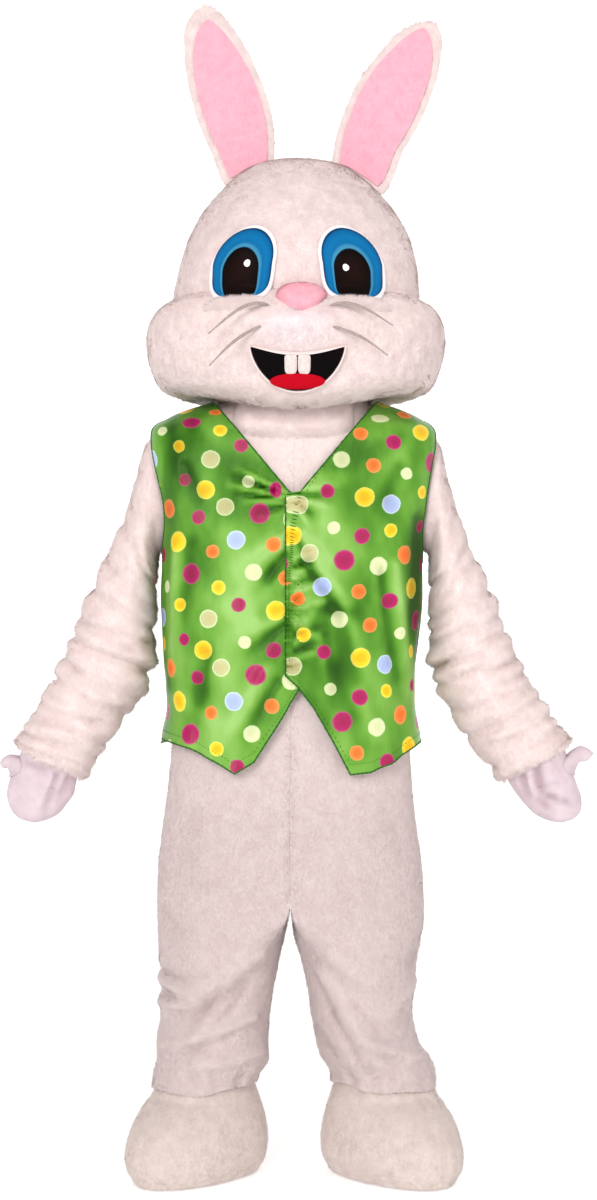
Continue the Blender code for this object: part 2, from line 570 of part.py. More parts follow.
def smile(grow):
    """The mouth's outline, made wider all round by grow."""
    half = MOUTH_CORNER + grow

    def outline(u):
        turn = 2 * math.pi * u
        across = math.cos(turn)
        x = half * across
        if math.sin(turn) > 0:
            z = MOUTH_CORNER_HEIGHT + (MOUTH_LIP_HEIGHT - MOUTH_CORNER_HEIGHT) * math.cos(across * math.pi / 2)
            z += grow * math.sqrt(math.sin(turn))
        else:
            deep = MOUTH_CORNER_HEIGHT - MOUTH_BOTTOM_HEIGHT + grow
            z = MOUTH_CORNER_HEIGHT - deep * (1 - abs(across) ** 2.1) ** 0.62
        return FACE_MID + x, z

    return outline


def add_mouth(white, black, red, cream):
    """An open smile: felt border, dark panel, tongue and two front teeth."""
    plate("mouth_border", smile(5 * SEAM_GAP), smile(MOUTH_BORDER), 24, 1, white, MOUTH_LIFT, 0.0025)
    middle = (FACE_MID, (MOUTH_LIP_HEIGHT + MOUTH_BOTTOM_HEIGHT) / 2)
    plate("mouth", lambda u: middle, smile(0.0), 24, 2, black, MOUTH_LIFT, MOUTH_PANEL)
    tongue_mid = (TONGUE_TOP_HEIGHT + TONGUE_BOTTOM_HEIGHT) / 2
    tongue_half = (TONGUE_TOP_HEIGHT - TONGUE_BOTTOM_HEIGHT) / 2
    tongue = arch(FACE_MID, tongue_mid, TONGUE_HALF_WIDTH, tongue_half, tongue_half, 0.0, 2.0)
    over_panel = MOUTH_LIFT + MOUTH_PANEL + 3 * SEAM_GAP
    plate("tongue", lambda u: (FACE_MID, tongue_mid), tongue, 14, 1, red, over_panel, 0.004)
    tooth_mid = (TOOTH_TOP_HEIGHT + TOOTH_BOTTOM_HEIGHT) / 2
    tooth_half = (TOOTH_TOP_HEIGHT - TOOTH_BOTTOM_HEIGHT) / 2
    for side_name, side in SIDES.items():
        x = FACE_MID + side * TOOTH_OUT
        tooth = arch(x, tooth_mid, TOOTH_HALF_WIDTH, tooth_half, tooth_half, 0.0, 2.6)
        plate("tooth_" + side_name, lambda u, x=x: (x, tooth_mid), tooth, 12, 1, cream, over_panel, 0.004)


def add_whiskers(grey):
    """Four thin bent bristles sewn into the sides of the muzzle."""
    for name, whisker in WHISKERS.items():
        curve = bpy.data.curves.new(name, "CURVE")
        curve.dimensions = "3D"
        curve.bevel_depth = WHISKER_RADIUS
        curve.bevel_resolution = 0
        curve.use_fill_caps = True
        root = face_point(whisker.root_x, whisker.root_z, WHISKER_RADIUS - whisker.sink)
        tip = face_point(whisker.tip_x, whisker.tip_z, 0.030)
        steps = 7
        spline = curve.splines.new("POLY")
        spline.points.add(steps)
        for step in range(steps + 1):
            part = step / steps
            point = root.lerp(tip, part)
            arc = math.sin(math.pi * part)
            lifted = face_point(point.x, point.z, WHISKER_RADIUS - whisker.sink + 0.032 * part)
            point.y = min(point.y, lifted.y)
            point.z += whisker.sag * arc - SHOULDER_HEIGHT
            spline.points[step].co = (*point, 1.0)
        curve.materials.append(grey)
        bpy.context.collection.objects.link(bpy.data.objects.new(name, curve))


def crown_height(x, y):
    """The height of the crown's top over a point of the floor."""
    low, high = float(CROWN_ROW), len(HEAD) - 1.0
    for _ in range(30):
        middle = (low + high) / 2
        level = through(HEAD, middle)
        half = max((level.right - level.left) / 2, 1e-6)
        depth = max(level.back if y > 0 else -level.front, 1e-6)
        across = (x - (level.left + level.right) / 2) / half
        inside = abs(across) ** level.square + abs(y / depth) ** level.square < 1
        low, high = (middle, high) if inside else (low, middle)
    return through(HEAD, low).height


def add_ear(side_name, rows, white, pink):
    """A foam ear in plush with a pink lining laid in its cupped front."""
    last = len(rows) - 1
    foot_x = (rows[0].outer_x + rows[0].inner_x) / 2

    def ring(angle, row):
        point, inward = cross_point(through(rows, row), angle, EAR_CUP * (1 - max(row, 0.0) / last))
        if row < 0.0:
            point = point.lerp(Vector((foot_x, rows[0].mid_y, 0.0)), -row)
        if row < 1.0:
            seat = crown_height(point.x, point.y) + EAR_SEAT
            point.z = seat + (point.z - seat) * ease(row)
        return point, inward

    mesh = bmesh.new()
    bmesh.ops.create_grid(mesh, x_segments=14, y_segments=10, size=0.5)
    for vert in mesh.verts:
        step = round(10 * (vert.co.y + 0.5))
        vert.co = ring(2 * math.pi * (vert.co.x + 0.5), step - 2.0 if step > 1 else (step - 2.0) / 2)[0]
    bmesh.ops.remove_doubles(mesh, verts=mesh.verts, dist=1e-5)
    keep("ear_" + side_name, mesh, white)

    def lining(u, v):
        row = 0.35 + (last - 0.95) * v
        cross = through(rows, row)
        half = math.dist((cross.outer_x, cross.outer_z), (cross.inner_x, cross.inner_z)) / 2
        share = max(half - EAR_RIM, 0.002) / half * math.sqrt(max(1 - v ** 5, 0.02))
        across = share * (2 * u - 1)
        angle = -math.acos(across)
        point, inward = ring(angle, row)
        return point - inward * (1.3 * LAP + 0.002), point - inward * 1.3 * LAP

    wall("ear_lining_" + side_name, [(lining, 6, 7)], pink)


# ---------------------------------------------------------------- suit
def hole_edge(height, mid, half, angle):
    """How far an armhole's edge lies from the side seam, as an angle."""
    return angle * math.sqrt(max(1 - ((height - mid) / half) ** 2, 0.0))


def torso_point(angle, height):
    """A point of the suit's body at a height, and the way into its wall."""
    return level_point(through(TORSO, row_at(TORSO, height)), angle)


def leg_seat(side, turn):
    """The body's lower edge on one leg's side, closed by a straight run along the crotch."""
    turn = (turn + math.pi) % (2 * math.pi) - math.pi
    arc = LEG_ARC * math.pi
    level = TORSO[0]
    if abs(turn) <= arc + 1e-6:
        seam = 0.0 if side > 0 else math.pi
        return level_point(level, seam + side * math.pi / 2 * turn / arc)[0]
    depth = level.back if turn > 0 else level.front
    return Vector((CROTCH_X, depth * (math.pi - abs(turn)) / (math.pi - arc), level.height))


def held_by_boot(side_name, point):
    """The boot's surface in the direction of a point from the ankle, and the way into it."""
    row = row_at(BOOT, point.z)
    ring = through(BOOT, row)
    away = point - BOOT_ANKLES[side_name]
    toe = Vector((SIDES[side_name] * math.sin(BOOT_SPLAY), -math.cos(BOOT_SPLAY), 0.0))
    ahead = away.x * toe.x + away.y * toe.y
    aside = away.x * -toe.y + away.y * toe.x
    length = ring.toe if ahead > 0 else ring.heel
    return boot_ring(side_name, math.atan2(aside / ring.half_width, ahead / length), row)


def leg_layers(side_name, rows, turn, row):
    """Outer and inner point of a leg; turn counts from its outside to the back."""
    last = len(rows) - 1
    point, inward = cross_point(through(rows, row), turn)
    height = point.z
    if row < LEG_BLEND:
        point = leg_seat(SIDES[side_name], turn).lerp(point, ease(row / LEG_BLEND))
    if point.y < 0:
        point -= inward * fold_height(LEG_FOLDS[side_name], point.x, height)
    hem = ease((row - (last - LEG_GATHER)) / LEG_GATHER)
    if hem > 0:
        point.z = height
        foot, into = held_by_boot(side_name, point)
        clear = PLUSH + 2.55 * LAP
        point -= into * max(clear - (foot - point).dot(into), 0.0)
        wave = HEM_WAVE * (0.5 + 0.5 * math.cos(HEM_WAVES * turn)) * (1 - hem)
        point = point.lerp(foot - into * clear, hem) - inward * wave
        inward = inward.lerp(into, hem).normalized()
    point.z = height
    return point, point + inward * PLUSH


def add_body(side_name, leg_rows, plush):
    """The front and back panel of one half of the suit, each from its shoulder seam to its leg's hem."""
    side = SIDES[side_name]
    leg_stops = [0.0, 0.5, 1.0, 1.6, 2.3, 3.0, 3.6, 4.2, 4.8, 5.5, 6.2, float(len(leg_rows) - 1)]
    for face_name, face in (("front", FRONT), ("back", BACK)):

        def body(u, v, face=face):
            height = BODY_STOPS[round(v * (len(BODY_STOPS) - 1))]
            edge = hole_edge(height, ARMHOLE_MID, ARMHOLE_HALF, ARMHOLE_ANGLE)
            swing = face * (edge + (math.pi / 2 - edge) * u)
            point, inward = torso_point(swing if side > 0 else math.pi - swing, height)
            return point, point + inward * PLUSH

        def outer_leg(u, v, face=face):
            row = leg_stops[round(v * (len(leg_stops) - 1))]
            point, inner = leg_layers(side_name, leg_rows, face * LEG_ARC * math.pi * u, row)
            return point, (body(u, 0.0)[1] if v < 1e-6 else inner)

        def inner_leg(u, v, face=face):
            turn = face * math.pi * (LEG_ARC + (1 - LEG_ARC) * u)
            return leg_layers(side_name, leg_rows, turn, leg_stops[round(v * (len(leg_stops) - 1))])

        wall(f"suit_{face_name}_{side_name}",
             [(body, 6, len(BODY_STOPS) - 1), (outer_leg, 6, len(leg_stops) - 1),
              (inner_leg, 3, len(leg_stops) - 1)],
             plush, (side * SEAM_GAP / 2, face * SEAM_GAP / 2, 0.0))


def sleeve_root(side, turn):
    """The armhole's edge on the suit, a little larger; turn counts from the shoulder to the back."""
    height = ARMHOLE_MID + ARMHOLE_HALF * 1.03 * math.cos(turn)
    swing = ARMHOLE_ANGLE * 1.05 * math.sin(turn)
    point, _ = torso_point(swing if side > 0 else math.pi - swing, height)
    return point + Vector((side * 1.5 * LAP, 0.0, 0.0))


def add_sleeve(side_name, rows, plush):
    """A sleeve in two halves, gathered in rolls down to a cuff that closes on the mitten."""
    side = SIDES[side_name]
    last = len(rows) - 1
    stops = [0.0, 0.5, 1.0, 1.6, 2.3, ROLL_START]
    step = (ROLL_END - ROLL_START) / (2 * ROLLS)
    stops += [ROLL_START + step * (count + 1) for count in range(2 * ROLLS)]
    stops += [last - 0.45, float(last)]

    def ring(turn, row):
        point, inward = cross_point(through(rows, row), turn)
        if row < 1.0:
            point = sleeve_root(side, turn).lerp(point, ease(row))
        if ROLL_START < row < ROLL_END:
            outside = 0.75 + 0.25 * math.cos(turn)
            bump = abs(math.sin(math.pi * (row - ROLL_START) / (2 * step)))
            point -= inward * (ROLL_HEIGHT * outside * bump)
        return point, point + inward * PLUSH

    for face_name, face in (("front", FRONT), ("back", BACK)):

        def surface(u, v, turn=math.pi if face == FRONT else 0.0):
            return ring(turn + math.pi * u, stops[round(v * (len(stops) - 1))])

        wall(f"sleeve_{face_name}_{side_name}", [(surface, 7, len(stops) - 1)], plush,
             (0.0, face * SEAM_GAP / 2, 0.0))


def add_mitten(side_name, rows, thumb_rows, fabric):
    """A mitten in two halves with a thumb over an opening in its outer seam."""
    def opening(row):
        return THUMB_ANGLE * math.sqrt(max(1 - ((row - THUMB_ROW) / THUMB_ROWS) ** 2, 0.0))

    def ring(turn, row):
        point, inward = cross_point(through(rows, row), turn)
        return point, point + (inward if inward.length else Vector((0.0, 0.0, 1.0))) * PLUSH

    for face_name, face in (("front", FRONT), ("back", BACK)):

        def surface(u, v, face=face):
            row = MITTEN_STOPS[round(v * (len(MITTEN_STOPS) - 1))]
            edge = opening(row)
            return ring(face * (edge + (math.pi - edge) * u), row)

        wall(f"mitten_{face_name}_{side_name}", [(surface, 5, len(MITTEN_STOPS) - 1)], fabric,
             (0.0, face * SEAM_GAP / 2, 0.0))

    def thumb(u, v):
        turn = 2 * math.pi * u
        row = (len(thumb_rows) - 1) * v
        point, inward = cross_point(through(thumb_rows, row), turn)
        if row < 1.0:
            seat_row = THUMB_ROW - THUMB_ROWS * math.cos(turn)
            swing = THUMB_ANGLE * math.sin(turn)
            seat, into = ring(swing, seat_row)
            seat = seat + (seat - into).normalized() * 1.25 * LAP
            point = seat.lerp(point, ease(row))
        if not inward.length:
            inward = Vector((-SIDES[side_name], 0.0, 0.0))
        return point, point + inward * PLUSH * 0.8

    wall(f"mitten_thumb_{side_name}", [(thumb, 10, 4)], fabric)


def boot_ring(side_name, turn, row):
    """A point of a boot's ring and the way into its wall; turn 0 is its toe."""
    side = SIDES[side_name]
    ring = through(BOOT, row)
    toe = Vector((side * math.sin(BOOT_SPLAY), -math.cos(BOOT_SPLAY), 0.0))
    across = Vector((-toe.y, toe.x, 0.0))
    ahead, aside = math.cos(turn), math.sin(turn)
    length = ring.toe if ahead > 0 else ring.heel
    point = BOOT_ANKLES[side_name] + toe * length * ahead + across * ring.half_width * aside
    point.z = ring.height
    inward = -(toe * ahead * ring.half_width + across * aside * length).normalized()
    return point, inward


def add_boot(side_name, plush, rubber):
    """A padded boot cover, open at the ankle, on a flat sole."""
    last = len(BOOT) - 1

    def upper(u, v):
        point, inward = boot_ring(side_name, 2 * math.pi * u, last * v)
        return point, point + inward * BOOT_WALL

    wall("boot_" + side_name, [(upper, 20, 6)], plush)
    mesh = bmesh.new()
    bmesh.ops.create_circle(mesh, cap_ends=True, segments=24, radius=1.0)
    for vert in mesh.verts:
        point, inward = boot_ring(side_name, math.atan2(vert.co.y, vert.co.x), 0.0)
        vert.co = point - inward * SOLE_EDGE
        vert.co.z = 0.0
    raised = bmesh.ops.extrude_face_region(mesh, geom=list(mesh.faces), use_keep_orig=True)
    for item in raised["geom"]:
        if isinstance(item, bmesh.types.BMVert):
            item.co.z = SOLE_HEIGHT
    keep("sole_" + side_name, mesh, rubber, 30.0)


def add_neck(plush):
    """The soft neck of the head, from its opening down on to the suit, inside the vest's neckline."""
    for face_name, face in (("front", FRONT), ("back", BACK)):

        def surface(u, v, face=face):
            swing = face * math.pi * u
            top, _ = level_point(HEAD[0], swing)
            top.z -= 3 * SEAM_GAP
            middle = abs(math.sin(swing)) ** 9
            drop = NECK_SIDE_HEIGHT - (NECK_FRONT_DROP if face == FRONT else NECK_BACK_DROP) * middle
            low, inward = torso_point(swing, drop)
            low -= inward * (PLUSH + NECK_SEAT)
            low.z += (PLUSH + NECK_SEAT) * (1 - middle)
            point = top.lerp(low, v) - inward * (NECK_PUFF * math.sin(math.pi * v))
            return point, point + inward * PLUSH

        wall("neck_" + face_name, [(surface, 12, 3)], plush, (0.0, face * SEAM_GAP / 2, 0.0))


# ---------------------------------------------------------------- vest
def vest_layers(angle, height, raised=0.0):
    level = through(VEST, row_at(VEST, height))
    point, inward = level_point(level, angle)
    lift = raised
    if point.y < 0:
        lift += fold_height(VEST_FOLDS, point.x, point.z)
    point -= inward * lift
    return point, point + inward * SATIN


def neck_edge(height, side):
    """The angle of the V-neck's edge on one front."""
    level = through(VEST, row_at(VEST, height))
    x = side * (VEST_NECK_X + VEST_NECK_SLOPE * (height - VEST_OPENING_HEIGHT))
    return angle_at(level, x, FRONT)


def vest_height(bottom, row):
    """The height of a row of the vest: even steps from its hem to the armholes, then set ones."""
    if row < VEST_LOWER_ROWS:
        return bottom + (VEST_STOPS[0] - bottom) * row / VEST_LOWER_ROWS
    return VEST_STOPS[row - VEST_LOWER_ROWS]


def add_vest(satin):
    """A sleeveless vest: two pointed fronts, the right one lapped over the left, and a back."""
    rows = VEST_LOWER_ROWS + len(VEST_STOPS) - 1
    foot_level = through(VEST, 1.0)

    for side_name, side in SIDES.items():
        seam = math.pi if side < 0 else 2 * math.pi
        hem = VEST_HEMS[side_name]
        edge_x = hem[-1].x
        low_end = angle_at(foot_level, edge_x, FRONT)

        def surface(u, v, side=side, seam=seam, hem=hem, edge_x=edge_x, low_end=low_end):
            corner = hem[round(u * (len(hem) - 1))]
            share = (angle_at(foot_level, corner.x, FRONT) - seam) / (low_end - seam)
            height = vest_height(corner.height, round(v * rows))
            start = seam - side * hole_edge(height, VEST_HOLE_MID, VEST_HOLE_HALF, VEST_HOLE_ANGLE)
            level = through(VEST, row_at(VEST, height))
            end = angle_at(level, edge_x, FRONT)
            if height > VEST_OPENING_HEIGHT:
                end = neck_edge(height, side)
            angle = start + (end - start) * share
            x = level_point(level, angle)[0].x
            over = VEST_LAP * ease((0.070 - x) / 0.045) if side > 0 else 0.0
            return vest_layers(angle, height, over)

        wall("vest_front_" + side_name, [(surface, len(hem) - 1, rows)], satin, (0.0, -SEAM_GAP / 2, 0.0))

    def back(u, v):
        angle = math.pi * u
        height = vest_height(VEST_BACK_HEM, round(v * rows))
        edge = hole_edge(height, VEST_HOLE_MID, VEST_HOLE_HALF, VEST_HOLE_ANGLE)
        across = math.sin(angle)
        if height > VEST_NAPE_START:
            height -= (height - VEST_NAPE_START) * VEST_NAPE_DIP * across * across
        return vest_layers(edge + (math.pi - 2 * edge) * u, height)

    wall("vest_back", [(back, 12, rows)], satin, (0.0, SEAM_GAP / 2, 0.0))


# ---------------------------------------------------------------- the costume
def build():
    for item in list(bpy.data.objects):
        bpy.data.objects.remove(item, do_unlink=True)
    white = finish("white_plush", (0.86, 0.76, 0.74), 0.95)
    pink = finish("pink_plush", (0.95, 0.55, 0.63), 0.9)
    felt = finish("white_felt", (0.93, 0.90, 0.88), 0.9)
    blue = finish("blue_eye", (0.03, 0.22, 0.52), 0.35)
    black = finish("black_eye", (0.02, 0.012, 0.012), 0.25)
    dark = finish("black_felt", (0.01, 0.008, 0.008), 0.8)
    red = finish("red_felt", (0.65, 0.01, 0.03), 0.7)
    cream = finish("tooth_cream", (0.86, 0.82, 0.74), 0.4)
    grey = finish("whisker_grey", (0.35, 0.28, 0.25), 0.5)
    hands = finish("mitten_cloth", (0.86, 0.72, 0.74), 0.85)
    satin = finish("green_satin", (0.12, 0.42, 0.07), 0.35)
    rubber = finish("sole", (0.62, 0.56, 0.53), 0.85)

    head_half("head_face", FRONT, 0, CROWN_ROW, 18, 9, white, -SEAM_GAP / 2)
    head_half("head_nape", BACK, 0, CROWN_ROW, 12, 8, white, -SEAM_GAP / 2)
    head_half("crown_front", FRONT, CROWN_ROW, len(HEAD) - 1, 12, 7, white, SEAM_GAP / 2)
    head_half("crown_back", BACK, CROWN_ROW, len(HEAD) - 1, 12, 7, white, SEAM_GAP / 2)
    for side_name in SIDES:
        add_eye(side_name, felt, blue, black, felt)
    add_nose(pink)
    add_mouth(felt, dark, red, cream)
    add_whiskers(grey)
    add_ear("left", LEFT_EAR, white, pink)
    add_ear("right", RIGHT_EAR, white, pink)
    add_neck(white)
    add_body("left", LEFT_LEG, white)
    add_body("right", RIGHT_LEG, white)
    add_sleeve("left", LEFT_SLEEVE, white)
    add_sleeve("right", RIGHT_SLEEVE, white)
    add_mitten("left", LEFT_MITTEN, LEFT_THUMB, hands)
    add_mitten("right", RIGHT_MITTEN, RIGHT_THUMB, hands)
    for side_name in SIDES:
        add_boot(side_name, white, rubber)
    add_vest(satin)


build()
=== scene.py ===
"""The looks of a rabbit mascot costume: plush head, suit, mittens, boots and a dotted satin vest.

Units are metres, +Z is up and the face looks along -Y. Left and right are as seen from the front.
Heights in the tables are above the floor; the finished meshes are measured from the wearer's shoulders.
"""

import logging
import math
from dataclasses import dataclass, field, replace
from enum import Enum
from typing import Callable, NamedTuple, Optional, Sequence

import bmesh
import bpy
import numpy as np
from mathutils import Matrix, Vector, noise

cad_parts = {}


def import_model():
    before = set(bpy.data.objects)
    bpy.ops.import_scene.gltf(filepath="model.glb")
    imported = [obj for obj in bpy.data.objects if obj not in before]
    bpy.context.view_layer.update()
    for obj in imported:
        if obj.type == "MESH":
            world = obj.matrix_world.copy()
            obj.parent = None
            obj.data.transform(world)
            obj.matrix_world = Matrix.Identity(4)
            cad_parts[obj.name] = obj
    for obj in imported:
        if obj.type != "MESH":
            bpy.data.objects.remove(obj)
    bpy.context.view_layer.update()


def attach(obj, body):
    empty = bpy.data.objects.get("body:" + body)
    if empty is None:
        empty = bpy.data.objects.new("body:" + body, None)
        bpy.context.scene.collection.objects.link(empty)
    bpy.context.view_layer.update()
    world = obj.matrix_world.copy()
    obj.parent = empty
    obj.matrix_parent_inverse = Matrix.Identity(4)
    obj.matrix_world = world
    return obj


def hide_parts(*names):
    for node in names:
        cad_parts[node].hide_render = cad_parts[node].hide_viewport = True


LOG = logging.getLogger("costume")

BODY = "root"
TURN = 2 * math.pi
SHOULDER_HEIGHT = 1.360
PILE_DEPTH = 0.0034        # the plush's backing lies this far under the tips of its pile
BACKING = 0.0018           # the plush's backing cloth
CLEAR = 0.0004             # between pieces that meet
HALF_SEAM = 0.00015        # each panel's share of the gap at a seam
COAT = 0.003               # plush with its pile laid flat
BAKE_MAP = "OFBake"        # the map that holds a piece's own colours
CLOTH_MAP = "Cloth"        # the map in metres of cloth
BLADE_MAP = "Blade"        # the map along a strand of pile
FOLD_SHADE_MAP = "fold_map"      # the map of painted shade in the cloth's fold troughs and painted highlight on its ridges
FRONT_TURN, BACK_TURN = -math.pi / 2, math.pi / 2

Array = np.ndarray
Colour = tuple[float, float, float]
Place = tuple[float, float]
Layers = tuple[Vector, Vector]
Line = Callable[[float], Place]
Surface = Callable[[float, float], Layers]
Tone = Callable[[float, float], float]
Mask = Callable[[Array, Array], Array]
Stops = Sequence[tuple[float, Colour]]
Socket = bpy.types.NodeSocket
Finish = bpy.types.Material
Piece = bpy.types.Object


class Side(Enum):
    """The two sides of the costume, as seen from the front."""

    LEFT = "left"
    RIGHT = "right"

    @property
    def sign(self) -> int:
        """Which way along X this side lies."""
        return -1 if self is Side.LEFT else 1


class Face(Enum):
    """The front and back of the costume."""

    FRONT = "front"
    BACK = "back"

    @property
    def sign(self) -> int:
        """Which way along Y this face looks."""
        return -1 if self is Face.FRONT else 1


class Level(NamedTuple):
    """A level ring of a body: its sides, its front and back, and how square it is."""

    height: float
    left: float
    right: float
    front: float
    back: float
    square: float
    side_lift: float = 0.0

    @property
    def half(self) -> float:
        """Half its width."""
        return (self.right - self.left) / 2

    @property
    def middle(self) -> float:
        """The place across of its middle."""
        return (self.left + self.right) / 2


class Cross(NamedTuple):
    """A slanted ring of a limb: its outer edge, its inner edge and its depth."""

    outer_x: float
    outer_z: float
    inner_x: float
    inner_z: float
    mid_y: float
    depth: float

    @property
    def width(self) -> float:
        """From its outer to its inner edge."""
        return math.dist((self.outer_x, self.outer_z), (self.inner_x, self.inner_z))


class Ring(NamedTuple):
    """A level ring of a boot."""

    height: float
    toe: float
    heel: float
    half_width: float


class Fold(NamedTuple):
    """A soft ridge, or a trough where its height is negative, between two places seen from the front."""

    start_x: float
    start_z: float
    end_x: float
    end_z: float
    height: float
    width: float


class Roll(NamedTuple):
    """A crease round a sleeve: its row, depth and width, the side it faces, how far round it reaches and its drift."""

    row: float
    depth: float
    width: float
    facing: float
    reach: float
    drift: float


class Bulge(NamedTuple):
    """A soft swelling of the face."""

    x: float
    z: float
    width: float
    height: float
    forward: float


class Hem(NamedTuple):
    """A corner of the vest's hem."""

    x: float
    height: float


class Whisker(NamedTuple):
    """A bristle from its root to its tip."""

    name: str
    root_x: float
    root_z: float
    tip_x: float
    tip_z: float
    sag: float


def table(kind: type, *rows: tuple) -> tuple:
    """Rows of a table, under the kind's named columns."""
    return tuple(kind(*row) for row in rows)


# ---------------------------------------------------------------- curves
def power(value: float, exponent: float) -> float:
    """A power that keeps the sign."""
    return math.copysign(abs(value) ** exponent, value)


def clamp(part: float) -> float:
    """The nearest share from 0 to 1."""
    return min(max(part, 0.0), 1.0)


def ease(part: float) -> float:
    """0 to 1 with a soft start and end."""
    part = clamp(part)
    return part * part * (3.0 - 2.0 * part)


def among(stops: Sequence[float], part: float) -> float:
    """The value at a share of the way along a list of stops.

    Args:
        stops: values at even steps.
        part: share of the way, 0 to 1.

    Returns:
        The value between the two nearest stops.
    """
    at = clamp(part) * (len(stops) - 1)
    low = min(int(at), len(stops) - 2)
    return stops[low] + (stops[low + 1] - stops[low]) * (at - low)


def hole_edge(height: float, mid: float, half: float, angle: float) -> float:
    """The angle from a seam to a hole's edge at a height, from the hole's middle, half height and widest angle."""
    return angle * math.sqrt(max(1 - ((height - mid) / half) ** 2, 0.0))


def fold_height(folds: Sequence[Fold], x: float, z: float) -> float:
    """How far soft ridges and troughs stand out at a place.

    Args:
        folds: the ridges and troughs.
        x: place across.
        z: height above the floor.

    Returns:
        The height over the plain cloth.
    """
    total = 0.0
    for line in folds:
        run_x, run_z = line.end_x - line.start_x, line.end_z - line.start_z
        part = clamp(((x - line.start_x) * run_x + (z - line.start_z) * run_z) / (run_x * run_x + run_z * run_z))
        away = math.hypot(x - line.start_x - run_x * part, z - line.start_z - run_z * part)
        if away < 3.2 * line.width:
            narrow = line.width * (0.75 + 0.5 * part)
            total += line.height * math.exp(-((away / narrow) ** 2)) * (0.35 + 0.65 * ease(2.4 * (1.0 - part) + 0.1))
    return total


class Rows:
    """A table of rings joined by a smooth curve."""

    def __init__(self, rows: Sequence[tuple], first: float = 0.0) -> None:
        """Keeps the rows and a climb of their heights, for finding a row by its height.

        Args:
            rows: the rings, with heights that climb from the first one on.
            first: the row that the climb starts at.
        """
        self.rows = rows
        self.last = len(rows) - 1
        if hasattr(rows[0], "height"):
            self._steps = np.linspace(first, self.last, 1200)
            self._heights = np.array([self.at(step).height for step in self._steps])

    def at(self, row: float) -> tuple:
        """The ring at a fractional row number.

        Args:
            row: the row number.

        Returns:
            A ring of the table's kind.
        """
        row = min(max(row, 0.0), float(self.last))
        low = min(int(row), self.last - 1)
        t = row - low
        around = (self.rows[min(max(low + step, 0), self.last)] for step in (-1, 0, 1, 2))
        return type(self.rows[0])(*(
            s + 0.5 * t * (e - b + t * (2 * b - 5 * s + 4 * e - a + t * (3 * (s - e) + a - b)))
            for b, s, e, a in zip(*around)
        ))

    def row(self, height: float) -> float:
        """The fractional row number at a height."""
        return float(np.interp(height, self._heights, self._steps))

    def level(self, height: float) -> tuple:
        """The ring at a height."""
        return self.at(self.row(height))


def level_point(level: Level, angle: float) -> Layers:
    """A point of a level ring; the angle turns right, back, left, front.

    Args:
        level: the ring.
        angle: the angle round it.

    Returns:
        The point and the way into the wall.
    """
    across, deep = (power(part, 2 / level.square) for part in (math.cos(angle), math.sin(angle)))
    depth = level.back if deep > 0 else -level.front
    point = Vector((level.middle + level.half * across, depth * deep, level.height + level.side_lift * across * across))
    slope = level.square - 1
    inward = -Vector((power(across, slope) * depth, power(deep, slope) * level.half, 0.0))
    return point, inward.normalized() if inward.length > 0 else Vector((0.0, 0.0, -1.0))


def angle_at(level: Level, x: float, face: Face) -> float:
    """The angle of a level ring's point at x.

    Args:
        level: the ring.
        x: place across.
        face: its front or its back.

    Returns:
        The angle round the ring.
    """
    across = min(max((x - level.middle) / level.half, -1.0), 1.0)
    angle = math.acos(power(across, level.square / 2))
    return angle if face is Face.BACK else TURN - angle


def cross_point(cross: Cross, angle: float, cup: float = 0.0) -> Layers:
    """A point of a slanted ring.

    Args:
        cross: the ring.
        angle: 0 at its outer edge, a quarter turn at its back.
        cup: how far both edges come forward.

    Returns:
        The point and the way into the wall.
    """
    outer = Vector((cross.outer_x, cross.mid_y, cross.outer_z))
    inner = Vector((cross.inner_x, cross.mid_y, cross.inner_z))
    reach = (outer - inner) / 2
    along, deep = math.cos(angle), math.sin(angle)
    point = (outer + inner) / 2 + reach * along + Vector((0.0, cross.depth * deep - cup * along * along, 0.0))
    if reach.length < 1e-9:
        return point, Vector((0.0, 0.0, 0.0))
    inward = -(reach.normalized() * along * cross.depth + Vector((0.0, deep * reach.length, 0.0)))
    return point, inward.normalized()


def unit(rows: Array, tiny: float = 1e-9) -> Array:
    """Rows of directions, each made 1 long."""
    return rows / (np.linalg.norm(rows, axis=1, keepdims=True) + tiny)


# ---------------------------------------------------------------- meshes
@dataclass(frozen=True)
class Patch:
    """A stretch of cloth: its outer and inner points, how finely it is made, its map in metres and its painted fold
    shade, dark in troughs and light on ridges.
    """

    surface: Surface
    columns: int
    rows: int
    cloth: Optional[Callable[[float, float], Place]] = None
    tone: Optional[Tone] = None


